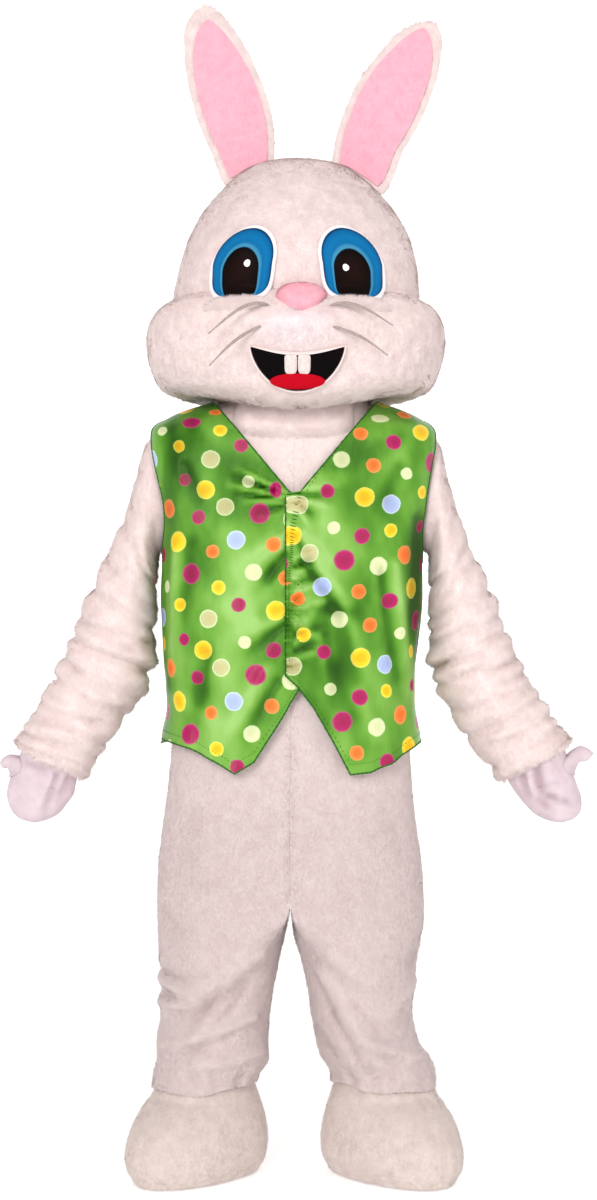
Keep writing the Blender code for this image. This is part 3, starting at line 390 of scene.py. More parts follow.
class Workroom:
    """Makes meshes and finishes each piece in the same way."""

    @staticmethod
    def dress(piece: Piece, slot: str, nodes: Sequence[str] = ()) -> Piece:
        """Seats a piece on the body and hides the plain nodes that it stands for.

        Args:
            piece: the piece.
            slot: not used.
            nodes: the plain nodes that it stands for.

        Returns:
            The same piece.
        """
        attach(piece, BODY)
        if nodes:
            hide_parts(*nodes)
        return piece

    @staticmethod
    def keep(name: str, mesh: bmesh.types.BMesh, finish: Finish, slot: str = "", nodes: Sequence[str] = (),
             crease: float = 60.0) -> Piece:
        """Turns a bmesh in heights above the floor into a finished piece.

        Args:
            name: the piece's name.
            mesh: its mesh, freed here.
            finish: its material.
            slot: the record's material slot, or none for the room.
            nodes: the plain nodes that it stands for.
            crease: degrees between faces past which their edge is sharp.

        Returns:
            The piece.
        """
        bmesh.ops.recalc_face_normals(mesh, faces=mesh.faces)
        bmesh.ops.translate(mesh, vec=(0.0, 0.0, -SHOULDER_HEIGHT), verts=mesh.verts)
        data = bpy.data.meshes.new(name)
        mesh.to_mesh(data)
        mesh.free()
        data.materials.append(finish)
        data.shade_smooth()
        data.set_sharp_from_angle(angle=math.radians(crease))
        piece = bpy.data.objects.new(name, data)
        bpy.context.collection.objects.link(piece)
        data.calc_loop_triangles()
        LOG.info("%s: %d triangles", name, len(data.loop_triangles))
        return Workroom.dress(piece, slot, nodes) if slot else piece

    @staticmethod
    def wall(name: str, patches: Sequence[Patch], finish: Finish, nodes: Sequence[str] = (), slot: str = "white_plush",
             shift: Sequence[float] = (0.0, 0.0, 0.0), crease: float = 60.0) -> Piece:
        """A closed wall between the outer and the inner points of its patches.

        Args:
            name: the piece's name.
            patches: the stretches of cloth, joined where their edges meet.
            finish: its material.
            nodes: the plain nodes that it stands for.
            slot: the record's material slot.
            shift: how far the piece is moved.
            crease: degrees between faces past which their edge is sharp.

        Returns:
            The piece, with its outer faces marked for pile.
        """
        mesh = bmesh.new()
        lining = mesh.verts.layers.float_vector.new("lining")
        outside = mesh.faces.layers.int.new("outside")
        bake, metres = (mesh.loops.layers.uv.new(label) for label in (BAKE_MAP, CLOTH_MAP))
        # each patch's painted fold shade, dark in troughs and light on ridges
        shade = mesh.loops.layers.uv.new(FOLD_SHADE_MAP) if patches[0].tone else None
        for number, patch in enumerate(patches):
            grid = bmesh.ops.create_grid(mesh, x_segments=patch.columns, y_segments=patch.rows, size=0.5)
            places = {vert: (vert.co.x + 0.5, vert.co.y + 0.5) for vert in grid["verts"]}
            for cell in {cell for vert in grid["verts"] for cell in vert.link_faces}:
                cell[outside] = 1
                for loop in cell.loops:
                    u, v = places[loop.vert]
                    loop[bake].uv = (0.01 + 0.48 * u, (number + 0.01 + 0.98 * v) / len(patches))
                    loop[metres].uv = patch.cloth(u, v) if patch.cloth else (u, v)
                    if shade:
                        loop[shade].uv = (patch.tone(u, v), 0.5)
            for vert, (u, v) in places.items():
                vert.co, vert[lining] = patch.surface(u, v)
        bmesh.ops.remove_doubles(mesh, verts=mesh.verts, dist=2e-5)
        bmesh.ops.recalc_face_normals(mesh, faces=mesh.faces)
        grown = bmesh.ops.extrude_face_region(mesh, geom=list(mesh.faces), use_keep_orig=True)
        moved = {item for item in grown["geom"] if isinstance(item, bmesh.types.BMVert)}
        for vert in moved:
            vert.co = vert[lining]
        for cell in mesh.faces:
            if any(vert in moved for vert in cell.verts):
                cell[outside] = 0
                for loop in cell.loops:
                    loop[bake].uv.x += 0.5
        bmesh.ops.translate(mesh, vec=shift, verts=mesh.verts)
        return Workroom.keep(name, mesh, finish, slot, nodes, crease)

    @staticmethod
    def strands(name: str, runs: Sequence[tuple[Sequence[Vector], Sequence[float]]], sides: int, finish: Finish,
                slot: str, nodes: Sequence[str] = ()) -> Piece:
        """Round strands joined into one piece.

        Args:
            name: the piece's name.
            runs: each strand's path, in heights above the floor, and its radius at each point.
            sides: faces round a strand.
            finish: their material.
            slot: the record's material slot.
            nodes: the plain nodes that they stand for.

        Returns:
            The piece.
        """
        mesh = bmesh.new()
        for path, radii in runs:
            rings = []
            for number, point in enumerate(path):
                ahead = path[min(number + 1, len(path) - 1)] - path[max(number - 1, 0)]
                ring = bmesh.ops.create_circle(mesh, segments=sides, radius=radii[number], cap_ends=False)["verts"]
                turn = ahead.to_track_quat("Z", "Y")
                for vert in ring:
                    vert.co = turn @ vert.co + point
                rings.append(ring)
            for low, high in zip(rings, rings[1:]):
                edges = [edge for ring in (low, high) for edge in {e for v in ring for e in v.link_edges}
                         if edge.verts[0] in ring and edge.verts[1] in ring]
                bmesh.ops.bridge_loops(mesh, edges=edges)
            for ring in (rings[0], rings[-1]):
                bmesh.ops.contextual_create(mesh, geom=ring)
        return Workroom.keep(name, mesh, finish, slot, nodes)


# ---------------------------------------------------------------- finishes
class Nodes:
    """A node tree, put together in plain steps."""

    def __init__(self, tree: bpy.types.NodeTree) -> None:
        """Keeps the tree that the nodes join."""
        self.tree = tree

    def feed(self, socket: Socket, value: "Socket | Sequence[float] | float") -> None:
        """Links a socket to another one, or sets it to a colour, a vector or a number.

        Args:
            socket: the socket that is fed.
            value: what feeds it.
        """
        if isinstance(value, Socket):
            self.tree.links.new(value, socket)
        else:
            socket.default_value = (*value, 1.0) if socket.type == "RGBA" else value

    def node(self, kind: str, feeds: Optional[dict] = None, **settings: object) -> bpy.types.Node:
        """Adds a node, sets its options and feeds its sockets.

        Args:
            kind: its type, without the first word.
            feeds: what feeds its inputs, by name or number.
            settings: its options by name.

        Returns:
            The new node.
        """
        made = self.tree.nodes.new("ShaderNode" + kind)
        for name, value in settings.items():
            setattr(made, name, value)
        for key, value in (feeds or {}).items():
            self.feed(made.inputs[key], value)
        return made

    def mix(self, share: "Socket | float", first: "Socket | Colour", second: "Socket | Colour",
            kind: str = "MIX") -> Socket:
        """A mix of two colours, with a share of the second."""
        return self.node("Mix", {0: share, 6: first, 7: second}, data_type="RGBA", blend_type=kind).outputs[2]

    def sum(self, kind: str, first: "Socket | float", second: "Socket | float") -> Socket:
        """One step of arithmetic."""
        return self.node("Math", {0: first, 1: second}, operation=kind).outputs[0]


class Bench(Nodes):
    """A material's node tree."""

    def __init__(self, name: str, **values: "float | tuple") -> None:
        """Starts a material with a Principled shader and sets plain values on the shader's own sockets.

        Args:
            name: the material's name.
            values: the sockets' values, by name with underscores for spaces.
        """
        self.material = bpy.data.materials.new(name)
        self.material.use_nodes = True
        super().__init__(self.material.node_tree)
        self.shader = self.tree.nodes["Principled BSDF"]
        for socket, value in values.items():
            self.shader.inputs[socket.replace("_", " ")].default_value = value

    def place(self, scale: Sequence[float] = (1.0, 1.0, 1.0), shift: Sequence[float] = (0.0, 0.0, 0.0)) -> Socket:
        """Object coordinates, scaled and then moved."""
        here = self.node("TexCoord").outputs["Object"]
        return self.node("Mapping", {"Vector": here, "Scale": scale, "Location": shift}).outputs["Vector"]

    def map(self, name: str) -> Socket:
        """The coordinates of one of the piece's own maps."""
        return self.node("UVMap", uv_map=name).outputs["UV"]

    def axis(self, name: str, axis: str) -> Socket:
        """One axis of one of the piece's own maps."""
        return self.node("SeparateXYZ", {0: self.map(name)}).outputs[axis]

    def noise(self, where: Socket, scale: float, detail: float = 2.0, rough: float = 0.5) -> Socket:
        """A soft noise of a scale and detail."""
        feeds = {"Vector": where, "Scale": scale, "Detail": detail, "Roughness": rough}
        return self.node("TexNoise", feeds).outputs["Fac"]

    def ramp(self, value: Socket, stops: Stops) -> Socket:
        """Colours along a value.

        Args:
            value: the value.
            stops: places, in order, and their colours.

        Returns:
            The colour.
        """
        made = self.node("ValToRGB", {"Fac": value})
        bar = made.color_ramp
        bar.elements[1].position, bar.elements[0].position = stops[-1][0], stops[0][0]
        bar.elements[1].color, bar.elements[0].color = (*stops[-1][1], 1.0), (*stops[0][1], 1.0)
        for at, colour in stops[1:-1]:
            bar.elements.new(at).color = (*colour, 1.0)
        return made.outputs["Color"]

    def tinted(self, colour: Socket, tint: "Socket | Colour", share: "Socket | float" = 1.0) -> Socket:
        """A colour multiplied by a share of another."""
        return self.mix(share, colour, tint, "MULTIPLY")

    def painted_fold_shade(self, colour: Socket, stops: Stops) -> Socket:
        """A colour multiplied by painted fold shade, read from the fold map along given stops."""
        return self.tinted(colour, self.ramp(self.axis(FOLD_SHADE_MAP, "X"), stops))

    def blend(self, first: Socket, first_share: float, second: Socket, second_share: float) -> Socket:
        """Two values added up by their shares."""
        return self.sum("ADD", self.sum("MULTIPLY", first, first_share), self.sum("MULTIPLY", second, second_share))

    def spread(self, value: Socket, share: float) -> Socket:
        """How far a value lies from a half, by a share."""
        return self.sum("MULTIPLY", self.sum("SUBTRACT", value, 0.5), share)

    def bump(self, height: Socket, distance: float, strength: float) -> None:
        """Raises the surface by a share of a height, in metres at a height of 1."""
        made = self.node("Bump", {"Height": height, "Distance": distance, "Strength": strength})
        self.feed(self.shader.inputs["Normal"], made.outputs["Normal"])

    def colour(self, value: Socket) -> None:
        """Gives the shader its base colour."""
        self.feed(self.shader.inputs["Base Color"], value)


@dataclass(frozen=True)
class TintAndShade:
    """A soft tint of the plush round a place, in metres from the shoulders; some of them are painted shade."""

    centre: tuple[float, float, float]
    reach: tuple[float, float, float]
    colour: Colour
    share: float


@dataclass(frozen=True)
class Plush:
    """Plush in a pale colour, mottled where the pile lies different ways, with soft tints and painted shade round given
    places and, if asked, painted shade in its fold troughs.
    """

    name: str
    light: Colour
    middle: Colour
    shade: Colour
    mottle: float = 46.0
    sheen: float = 0.25
    tints_and_shades: tuple[TintAndShade, ...] = ()
    painted_fold_shade: bool = False

    def mottled(self, bench: Bench) -> Socket:
        """The plush's colour, with its tints and its painted shade.

        Args:
            bench: the material.

        Returns:
            The colour.
        """
        broad = bench.noise(bench.place(), self.mottle, 3.0, 0.6)
        fine = bench.noise(bench.place((1.0, 1.0, 0.6)), self.mottle * 7.0, 2.0, 0.6)
        value = bench.blend(broad, 0.62, fine, 0.38)
        colour = bench.ramp(value, [(0.32, self.shade), (0.50, self.middle), (0.68, self.light)])
        # soft tints round given places; those under the nose and on the brow are painted shade
        for tint_and_shade in self.tints_and_shades:
            scale = tuple(1.0 / size for size in tint_and_shade.reach)
            shift = tuple(-at / size for at, size in zip(tint_and_shade.centre, tint_and_shade.reach))
            away = bench.node("VectorMath", {0: bench.place(scale, shift)}, operation="LENGTH").outputs["Value"]
            near = bench.sum("MULTIPLY", bench.sum("SUBTRACT", 1.0, bench.sum("MINIMUM", away, 1.0)), 1.6)
            share = bench.sum("MULTIPLY", bench.sum("MINIMUM", near, 1.0), tint_and_shade.share)
            colour = bench.tinted(colour, tint_and_shade.colour, share)
        if not self.painted_fold_shade:
            return colour
        # painted shade in the fold troughs, none on the ridges
        return bench.painted_fold_shade(colour, [(0.0, (0.76, 0.70, 0.69)), (0.25, (0.89, 0.865, 0.86)),
                                     (0.5, (0.98, 0.975, 0.975)), (0.8, (1.0, 1.0, 1.0))])

    def bench(self, layer: str, soft: float) -> Bench:
        """A new material of the plush, for one of its layers."""
        return Bench(f"{self.name}_{layer}", Roughness=0.95, Sheen_Weight=self.sheen, Sheen_Roughness=soft,
                     Specular_IOR_Level=0.15)

    def backing(self) -> Finish:
        """The finish of the cloth under the pile."""
        bench = self.bench("backing", 0.6)
        # the backing a little darker than the pile: painted shade deep in the pile
        bench.colour(bench.tinted(self.mottled(bench), (0.45, 0.36, 0.34), 0.07))
        bench.bump(bench.noise(bench.place((1.0, 1.0, 0.55)), 420.0, 3.0, 0.65), 0.0012, 0.6)
        return bench.material

    def pile(self) -> Finish:
        """The finish of the pile, with painted shade that darkens it towards its roots."""
        bench = self.bench("pile", 0.5)
        colour = self.mottled(bench)
        # painted shade towards each strand's root
        root = bench.ramp(bench.axis(BLADE_MAP, "Y"), [(0.0, (0.955, 0.94, 0.935)), (0.6, (1.0, 1.0, 1.0))])
        strand = bench.ramp(bench.axis(BLADE_MAP, "X"), [(0.0, (0.965, 0.955, 0.95)), (1.0, (1.0, 1.0, 1.0))])
        bench.colour(bench.tinted(bench.tinted(colour, root), strand))
        return bench.material


@dataclass(frozen=True)
class Felt:
    """Pressed felt: matt, with short fibres."""

    name: str
    colour: Colour
    shade: Colour
    roughness: float = 0.85
    fibre: float = 900.0
    shine: float = 0.10

    def build(self) -> Finish:
        """The finished material."""
        bench = Bench(self.name, Roughness=self.roughness, Specular_IOR_Level=self.shine)
        fibres = bench.noise(bench.place(), self.fibre, 3.0, 0.6)
        bench.colour(bench.ramp(fibres, [(0.30, self.shade), (0.62, self.colour)]))
        bench.bump(fibres, 0.0004, 0.6)
        return bench.material


@dataclass(frozen=True)
class EyeVinyl:
    """Printed vinyl of the eye: rings of colour from the inner edge, 0, to the rim, 1."""

    name: str
    rings: Stops
    roughness: float

    def build(self) -> Finish:
        """The finished material."""
        bench = Bench(self.name, Roughness=self.roughness, Specular_IOR_Level=0.04)
        waver = bench.spread(bench.noise(bench.place(), 160.0), 0.05)
        bench.colour(bench.ramp(bench.sum("ADD", bench.axis(CLOTH_MAP, "Y"), waver), self.rings))
        bench.bump(bench.noise(bench.place(), 700.0, 2.0), 0.0002, 0.4)
        return bench.material


@dataclass(frozen=True)
class Enamel:
    """A smooth moulded finish with a faint change of tone, as on teeth, a sole or bristles."""

    name: str
    light: Colour
    dark: Colour
    roughness: float
    coat: float
    grain: float = 260.0

    def build(self) -> Finish:
        """The finished material."""
        bench = Bench(self.name, Roughness=self.roughness, Coat_Weight=self.coat, Coat_Roughness=0.12)
        value = bench.noise(bench.place((1.0, 1.0, 0.5)), self.grain, 3.0, 0.6)
        bench.colour(bench.ramp(value, [(0.32, self.dark), (0.62, self.light)]))
        bench.bump(value, 0.0003, 0.5)
        return bench.material


@dataclass(frozen=True)
class Fleece:
    """Brushed stretch cloth of the mittens, with a fine rib of its knit and, if asked, painted shade in its creases and
    painted highlight on their ridges.
    """

    name: str
    light: Colour
    dark: Colour
    painted_fold_shade: bool = False

    def build(self) -> Finish:
        """The finished material."""
        bench = Bench(self.name, Roughness=0.9, Sheen_Weight=0.2, Sheen_Roughness=0.4, Specular_IOR_Level=0.2)
        fine = bench.noise(bench.place(), 650.0, 2.0, 0.6)
        value = bench.blend(bench.noise(bench.place(), 38.0, 3.0, 0.55), 0.7, fine, 0.3)
        colour = bench.ramp(value, [(0.36, self.dark), (0.62, self.light)])
        if self.painted_fold_shade:
            # painted shade in the creases and painted highlight on their ridges
            colour = bench.painted_fold_shade(colour, [(0.0, (0.74, 0.67, 0.69)), (0.35, (0.89, 0.86, 0.87)),
                                           (0.62, (0.98, 0.98, 0.98)), (0.9, (1.08, 1.08, 1.08))])
        bench.colour(colour)
        bench.bump(fine, 0.0005, 0.7)
        return bench.material


class Tint(Enum):
    """The dots' colours: centre, body and rim."""

    MAGENTA = ((0.36, 0.002, 0.090), (0.42, 0.003, 0.11), (0.44, 0.07, 0.17))
    YELLOW = ((0.92, 0.47, 0.012), (0.88, 0.62, 0.022), (0.80, 0.68, 0.12))
    TAN = ((0.56, 0.49, 0.24), (0.54, 0.54, 0.27), (0.66, 0.72, 0.40))
    CREAM = ((0.68, 0.70, 0.40), (0.70, 0.76, 0.43), (0.64, 0.74, 0.40))
    LAVENDER = ((0.38, 0.46, 0.76), (0.42, 0.50, 0.78), (0.56, 0.66, 0.76))
    ORANGE = ((0.86, 0.16, 0.025), (0.88, 0.22, 0.045), (0.78, 0.30, 0.09))


class Dot(NamedTuple):
    """A dot of the print, in millimetres of the repeat."""

    x: float
    y: float
    radius: float
    tint: Tint


@dataclass(frozen=True)
class DottedSatin:
    """Green satin printed with polka dots in a repeat, with painted shade in its fold troughs and painted sheen on
    their ridges.
    """

    name: str
    # greens from painted shade in the troughs to painted sheen on the ridges
    shade_tones: Stops = (
        (0.08, (0.022, 0.120, 0.004)), (0.36, (0.066, 0.235, 0.014)), (0.54, (0.124, 0.325, 0.034)),
        (0.74, (0.200, 0.415, 0.070)), (0.95, (0.300, 0.530, 0.140)),
    )
    repeat: Place = (285.0, 278.0)
    dots: tuple[Dot, ...] = table(
        Dot,
        (22, 14, 16.5, Tint.LAVENDER), (86, 36, 11.5, Tint.YELLOW), (143, 12, 16.0, Tint.TAN),
        (196, 36, 12.5, Tint.MAGENTA), (260, 26, 17.0, Tint.YELLOW), (276, 82, 13.0, Tint.ORANGE),
        (50, 68, 10.5, Tint.CREAM), (108, 90, 18.0, Tint.MAGENTA), (160, 66, 12.5, Tint.YELLOW),
        (221, 92, 14.5, Tint.CREAM), (26, 124, 14.0, Tint.MAGENTA), (80, 146, 18.0, Tint.YELLOW),
        (149, 128, 12.0, Tint.ORANGE), (190, 148, 16.0, Tint.LAVENDER), (254, 140, 13.0, Tint.ORANGE),
        (4, 184, 16.0, Tint.CREAM), (56, 204, 16.5, Tint.ORANGE), (122, 188, 12.5, Tint.MAGENTA),
        (168, 206, 15.5, Tint.TAN), (228, 194, 18.0, Tint.MAGENTA), (24, 246, 12.0, Tint.YELLOW),
        (96, 254, 11.0, Tint.MAGENTA), (134, 236, 16.5, Tint.YELLOW), (208, 250, 11.0, Tint.CREAM),
        (258, 236, 14.0, Tint.MAGENTA),
    )

    def build(self) -> Finish:
        """The finished material, on the piece's map in metres of cloth, with painted shade and sheen from the fold map.
        """
        bench = Bench(self.name, Roughness=0.33, Anisotropic=0.4, Specular_IOR_Level=0.34,
                      Specular_Tint=(0.62, 0.95, 0.42, 1.0))
        cloth = bench.map(CLOTH_MAP)
        # the fold map and a broad noise set where the ground lies on its painted scale from shade to sheen
        broad = bench.noise(bench.place((1.0, 1.0, 0.6)), 9.0, 3.0, 0.55)
        value = bench.sum("ADD", bench.axis(FOLD_SHADE_MAP, "X"), bench.spread(broad, 1.25))
        colour = bench.ramp(value, self.shade_tones)
        wobble = bench.node("TexNoise", {"Scale": 90.0, "Vector": cloth}).outputs["Color"]
        stray = bench.node("VectorMath", {0: wobble, 1: (0.003, 0.003, 0.0), 2: cloth}, operation="MULTIPLY_ADD")
        group = self.stamp()
        for dot in self.dots:
            feeds = {"Cloth": stray.outputs[0], "Ground": colour, "Middle": (dot.x / 1000, dot.y / 1000, 0.0),
                     "Radius": dot.radius / 1000, **dict(zip(("Centre", "Body", "Rim"), dot.tint.value))}
            colour = bench.node("Group", feeds, node_tree=group).outputs["Colour"]
        # painted shade that dims the ground and the dots in the troughs
        trough_shade = bench.ramp(value, [(0.10, (0.55, 0.55, 0.52)), (0.50, (0.96, 0.96, 0.96)), (0.60, (1.0, 1.0, 1.0))])
        bench.colour(bench.tinted(colour, trough_shade))
        weave = {"Scale": 420.0, "Distortion": 1.0, "Vector": cloth}
        threads = bench.node("TexWave", weave, bands_direction="DIAGONAL")
        ripple = bench.noise(bench.place((1.0, 1.0, 0.45)), 34.0, 3.0, 0.55)
        bench.bump(bench.blend(ripple, 0.9, threads.outputs["Fac"], 0.02), 0.0055, 0.7)
        return bench.material

    def stamp(self) -> bpy.types.NodeTree:
        """The node group that prints one dot of every repeat over the ground colour.

        Returns:
            The group.
        """
        nodes = Nodes(bpy.data.node_groups.new("printed_dot", "ShaderNodeTree"))
        face = nodes.tree.interface
        for name, kind in (("Cloth", "Vector"), ("Ground", "Color"), ("Middle", "Vector"), ("Radius", "Float"),
                           ("Centre", "Color"), ("Body", "Color"), ("Rim", "Color")):
            face.new_socket(name, in_out="INPUT", socket_type="NodeSocket" + kind)
        face.new_socket("Colour", in_out="OUTPUT", socket_type="NodeSocketColor")
        inlet, outlet = (nodes.tree.nodes.new(kind) for kind in ("NodeGroupInput", "NodeGroupOutput"))
        given = inlet.outputs
        across, along = self.repeat[0] / 2000, self.repeat[1] / 2000
        away = nodes.node("VectorMath", {0: given["Cloth"], 1: given["Middle"]}, operation="SUBTRACT").outputs[0]
        repeat = {0: away, 1: (across, along, 1.0), 2: (-across, -along, -1.0)}
        wrapped = nodes.node("VectorMath", repeat, operation="WRAP").outputs[0]
        length = nodes.node("VectorMath", {0: wrapped}, operation="LENGTH").outputs["Value"]
        part, colour = nodes.sum("DIVIDE", length, given["Radius"]), given["Ground"]
        for name, inner, outer in (("Rim", 0.97, 1.06), ("Body", 0.80, 0.93), ("Centre", 0.30, 0.72)):
            feeds = {"Value": part, "From Min": inner, "From Max": outer, "To Min": 1.0, "To Max": 0.0}
            fade = nodes.node("MapRange", feeds, interpolation_type="SMOOTHSTEP").outputs["Result"]
            colour = nodes.mix(fade, colour, given[name])
        nodes.feed(outlet.inputs["Colour"], colour)
        return nodes.tree


@dataclass(frozen=True)
class Wardrobe:
    """Every finish of the costume, built once."""

    finishes: dict[str, Finish] = field(default_factory=dict)

    def __getitem__(self, name: str) -> Finish:
        """The finish by its name."""
        return self.finishes[name]

    def fill(self) -> None:
        """Builds all the finishes."""
        white = ((0.885, 0.775, 0.750), (0.81, 0.682, 0.664), (0.73, 0.602, 0.590))
        even = ((0.872, 0.762, 0.738), (0.825, 0.703, 0.683), (0.782, 0.656, 0.641))
        warm = ((0.885, 0.775, 0.755), (0.82, 0.695, 0.675), (0.745, 0.61, 0.585))
        fleece = ((0.67, 0.55, 0.585), (0.57, 0.46, 0.495))
        face = (
            TintAndShade((0.0045, -0.262, 0.116), (0.085, 0.09, 0.046), (1.03, 1.07, 1.13), 0.70),     # the muzzle
            # painted shadow under the nose
            TintAndShade((0.006, -0.262, 0.144), (0.060, 0.07, 0.016), (0.92, 0.88, 0.94), 0.30),      # under the nose
            # painted shade on the brow and crown, darker where they tilt away from the light
            TintAndShade((0.0, -0.05, 0.34), (0.55, 0.55, 0.17), (0.945, 0.95, 0.955), 0.9),           # the brow
        )
        # the suit's plush darker from the chest down over the legs
        legs = (TintAndShade((0.0, 0.0, -1.02), (1.6, 1.6, 0.78), (0.745, 0.725, 0.730), 1.0),)
        for key, plush in (
            ("head", Plush("head_plush", *white, tints_and_shades=face)),
            ("white", Plush("white_plush", *white)),
            # the suit and the sleeves get painted shade in their fold troughs
            ("suit", Plush("suit_plush", *even, tints_and_shades=legs, painted_fold_shade=True)),
            ("sleeve", Plush("sleeve_plush", *warm, 34.0, painted_fold_shade=True)),
            ("boot", Plush("boot_plush", (0.73, 0.63, 0.585), (0.67, 0.57, 0.525), (0.60, 0.505, 0.465))),
            ("pink", Plush("pink_plush", (0.96, 0.465, 0.555), (0.93, 0.42, 0.51), (0.89, 0.37, 0.46), 60.0)),
            ("nose", Plush("nose_plush", (0.94, 0.51, 0.58), (0.90, 0.445, 0.525), (0.83, 0.375, 0.45), 60.0)),
        ):
            self.finishes[key], self.finishes[key + "_pile"] = plush.backing(), plush.pile()
        for key, finish in (
            ("felt", Felt("white_felt", (0.90, 0.85, 0.86), (0.80, 0.74, 0.76))),
            ("dark_felt", Felt("black_felt", (0.006, 0.004, 0.005), (0.002, 0.002, 0.002), 0.85, 900.0, 0.02)),
            ("lip", Felt("lip_felt", (0.84, 0.70, 0.68), (0.74, 0.60, 0.58))),
            ("red_felt", Felt("red_felt", (0.52, 0.002, 0.013), (0.38, 0.001, 0.008), 0.75, 900.0, 0.05)),
            ("iris", EyeVinyl("blue_vinyl", (
                (0.0, (0.006, 0.05, 0.12)), (0.06, (0.060, 0.265, 0.41)), (0.16, (0.035, 0.215, 0.385)),
                (0.26, (0.004, 0.135, 0.33)), (0.55, (0.005, 0.155, 0.375)), (0.85, (0.004, 0.12, 0.31)),
                (0.94, (0.003, 0.045, 0.13))), 0.6)),
            ("pupil", EyeVinyl("black_vinyl", (
                (0.0, (0.012, 0.004, 0.003)), (0.6, (0.008, 0.003, 0.002)), (1.0, (0.003, 0.002, 0.002))), 0.5)),
            ("shine", Enamel("white_vinyl", (0.98, 0.98, 0.98), (0.92, 0.92, 0.93), 0.3, 0.2)),
            ("tooth", Enamel("tooth_enamel", (0.74, 0.64, 0.61), (0.60, 0.49, 0.47), 0.5, 0.1)),
            ("whisker", Enamel("bristle", (0.42, 0.33, 0.305), (0.30, 0.225, 0.205), 0.8, 0.0)),
            ("rubber", Enamel("sole_rubber", (0.56, 0.49, 0.46), (0.42, 0.36, 0.34), 0.8, 0.0, 500.0)),
            ("mitten", Fleece("mitten_fleece", *fleece)),
            # the mittens' fleece, with painted shade in its creases and painted highlight on their ridges
            ("creased", Fleece("fleece_painted_crease_shade", *fleece, True)),
            ("satin", DottedSatin("green_satin")),
            ("edging", Felt("edging_cloth", (0.030, 0.155, 0.020), (0.012, 0.085, 0.010), 0.5, 1400.0)),
            ("thread", Felt("green_thread", (0.020, 0.110, 0.016), (0.008, 0.050, 0.006), 0.55, 2000.0)),
        ):
            self.finishes[key] = finish.build()


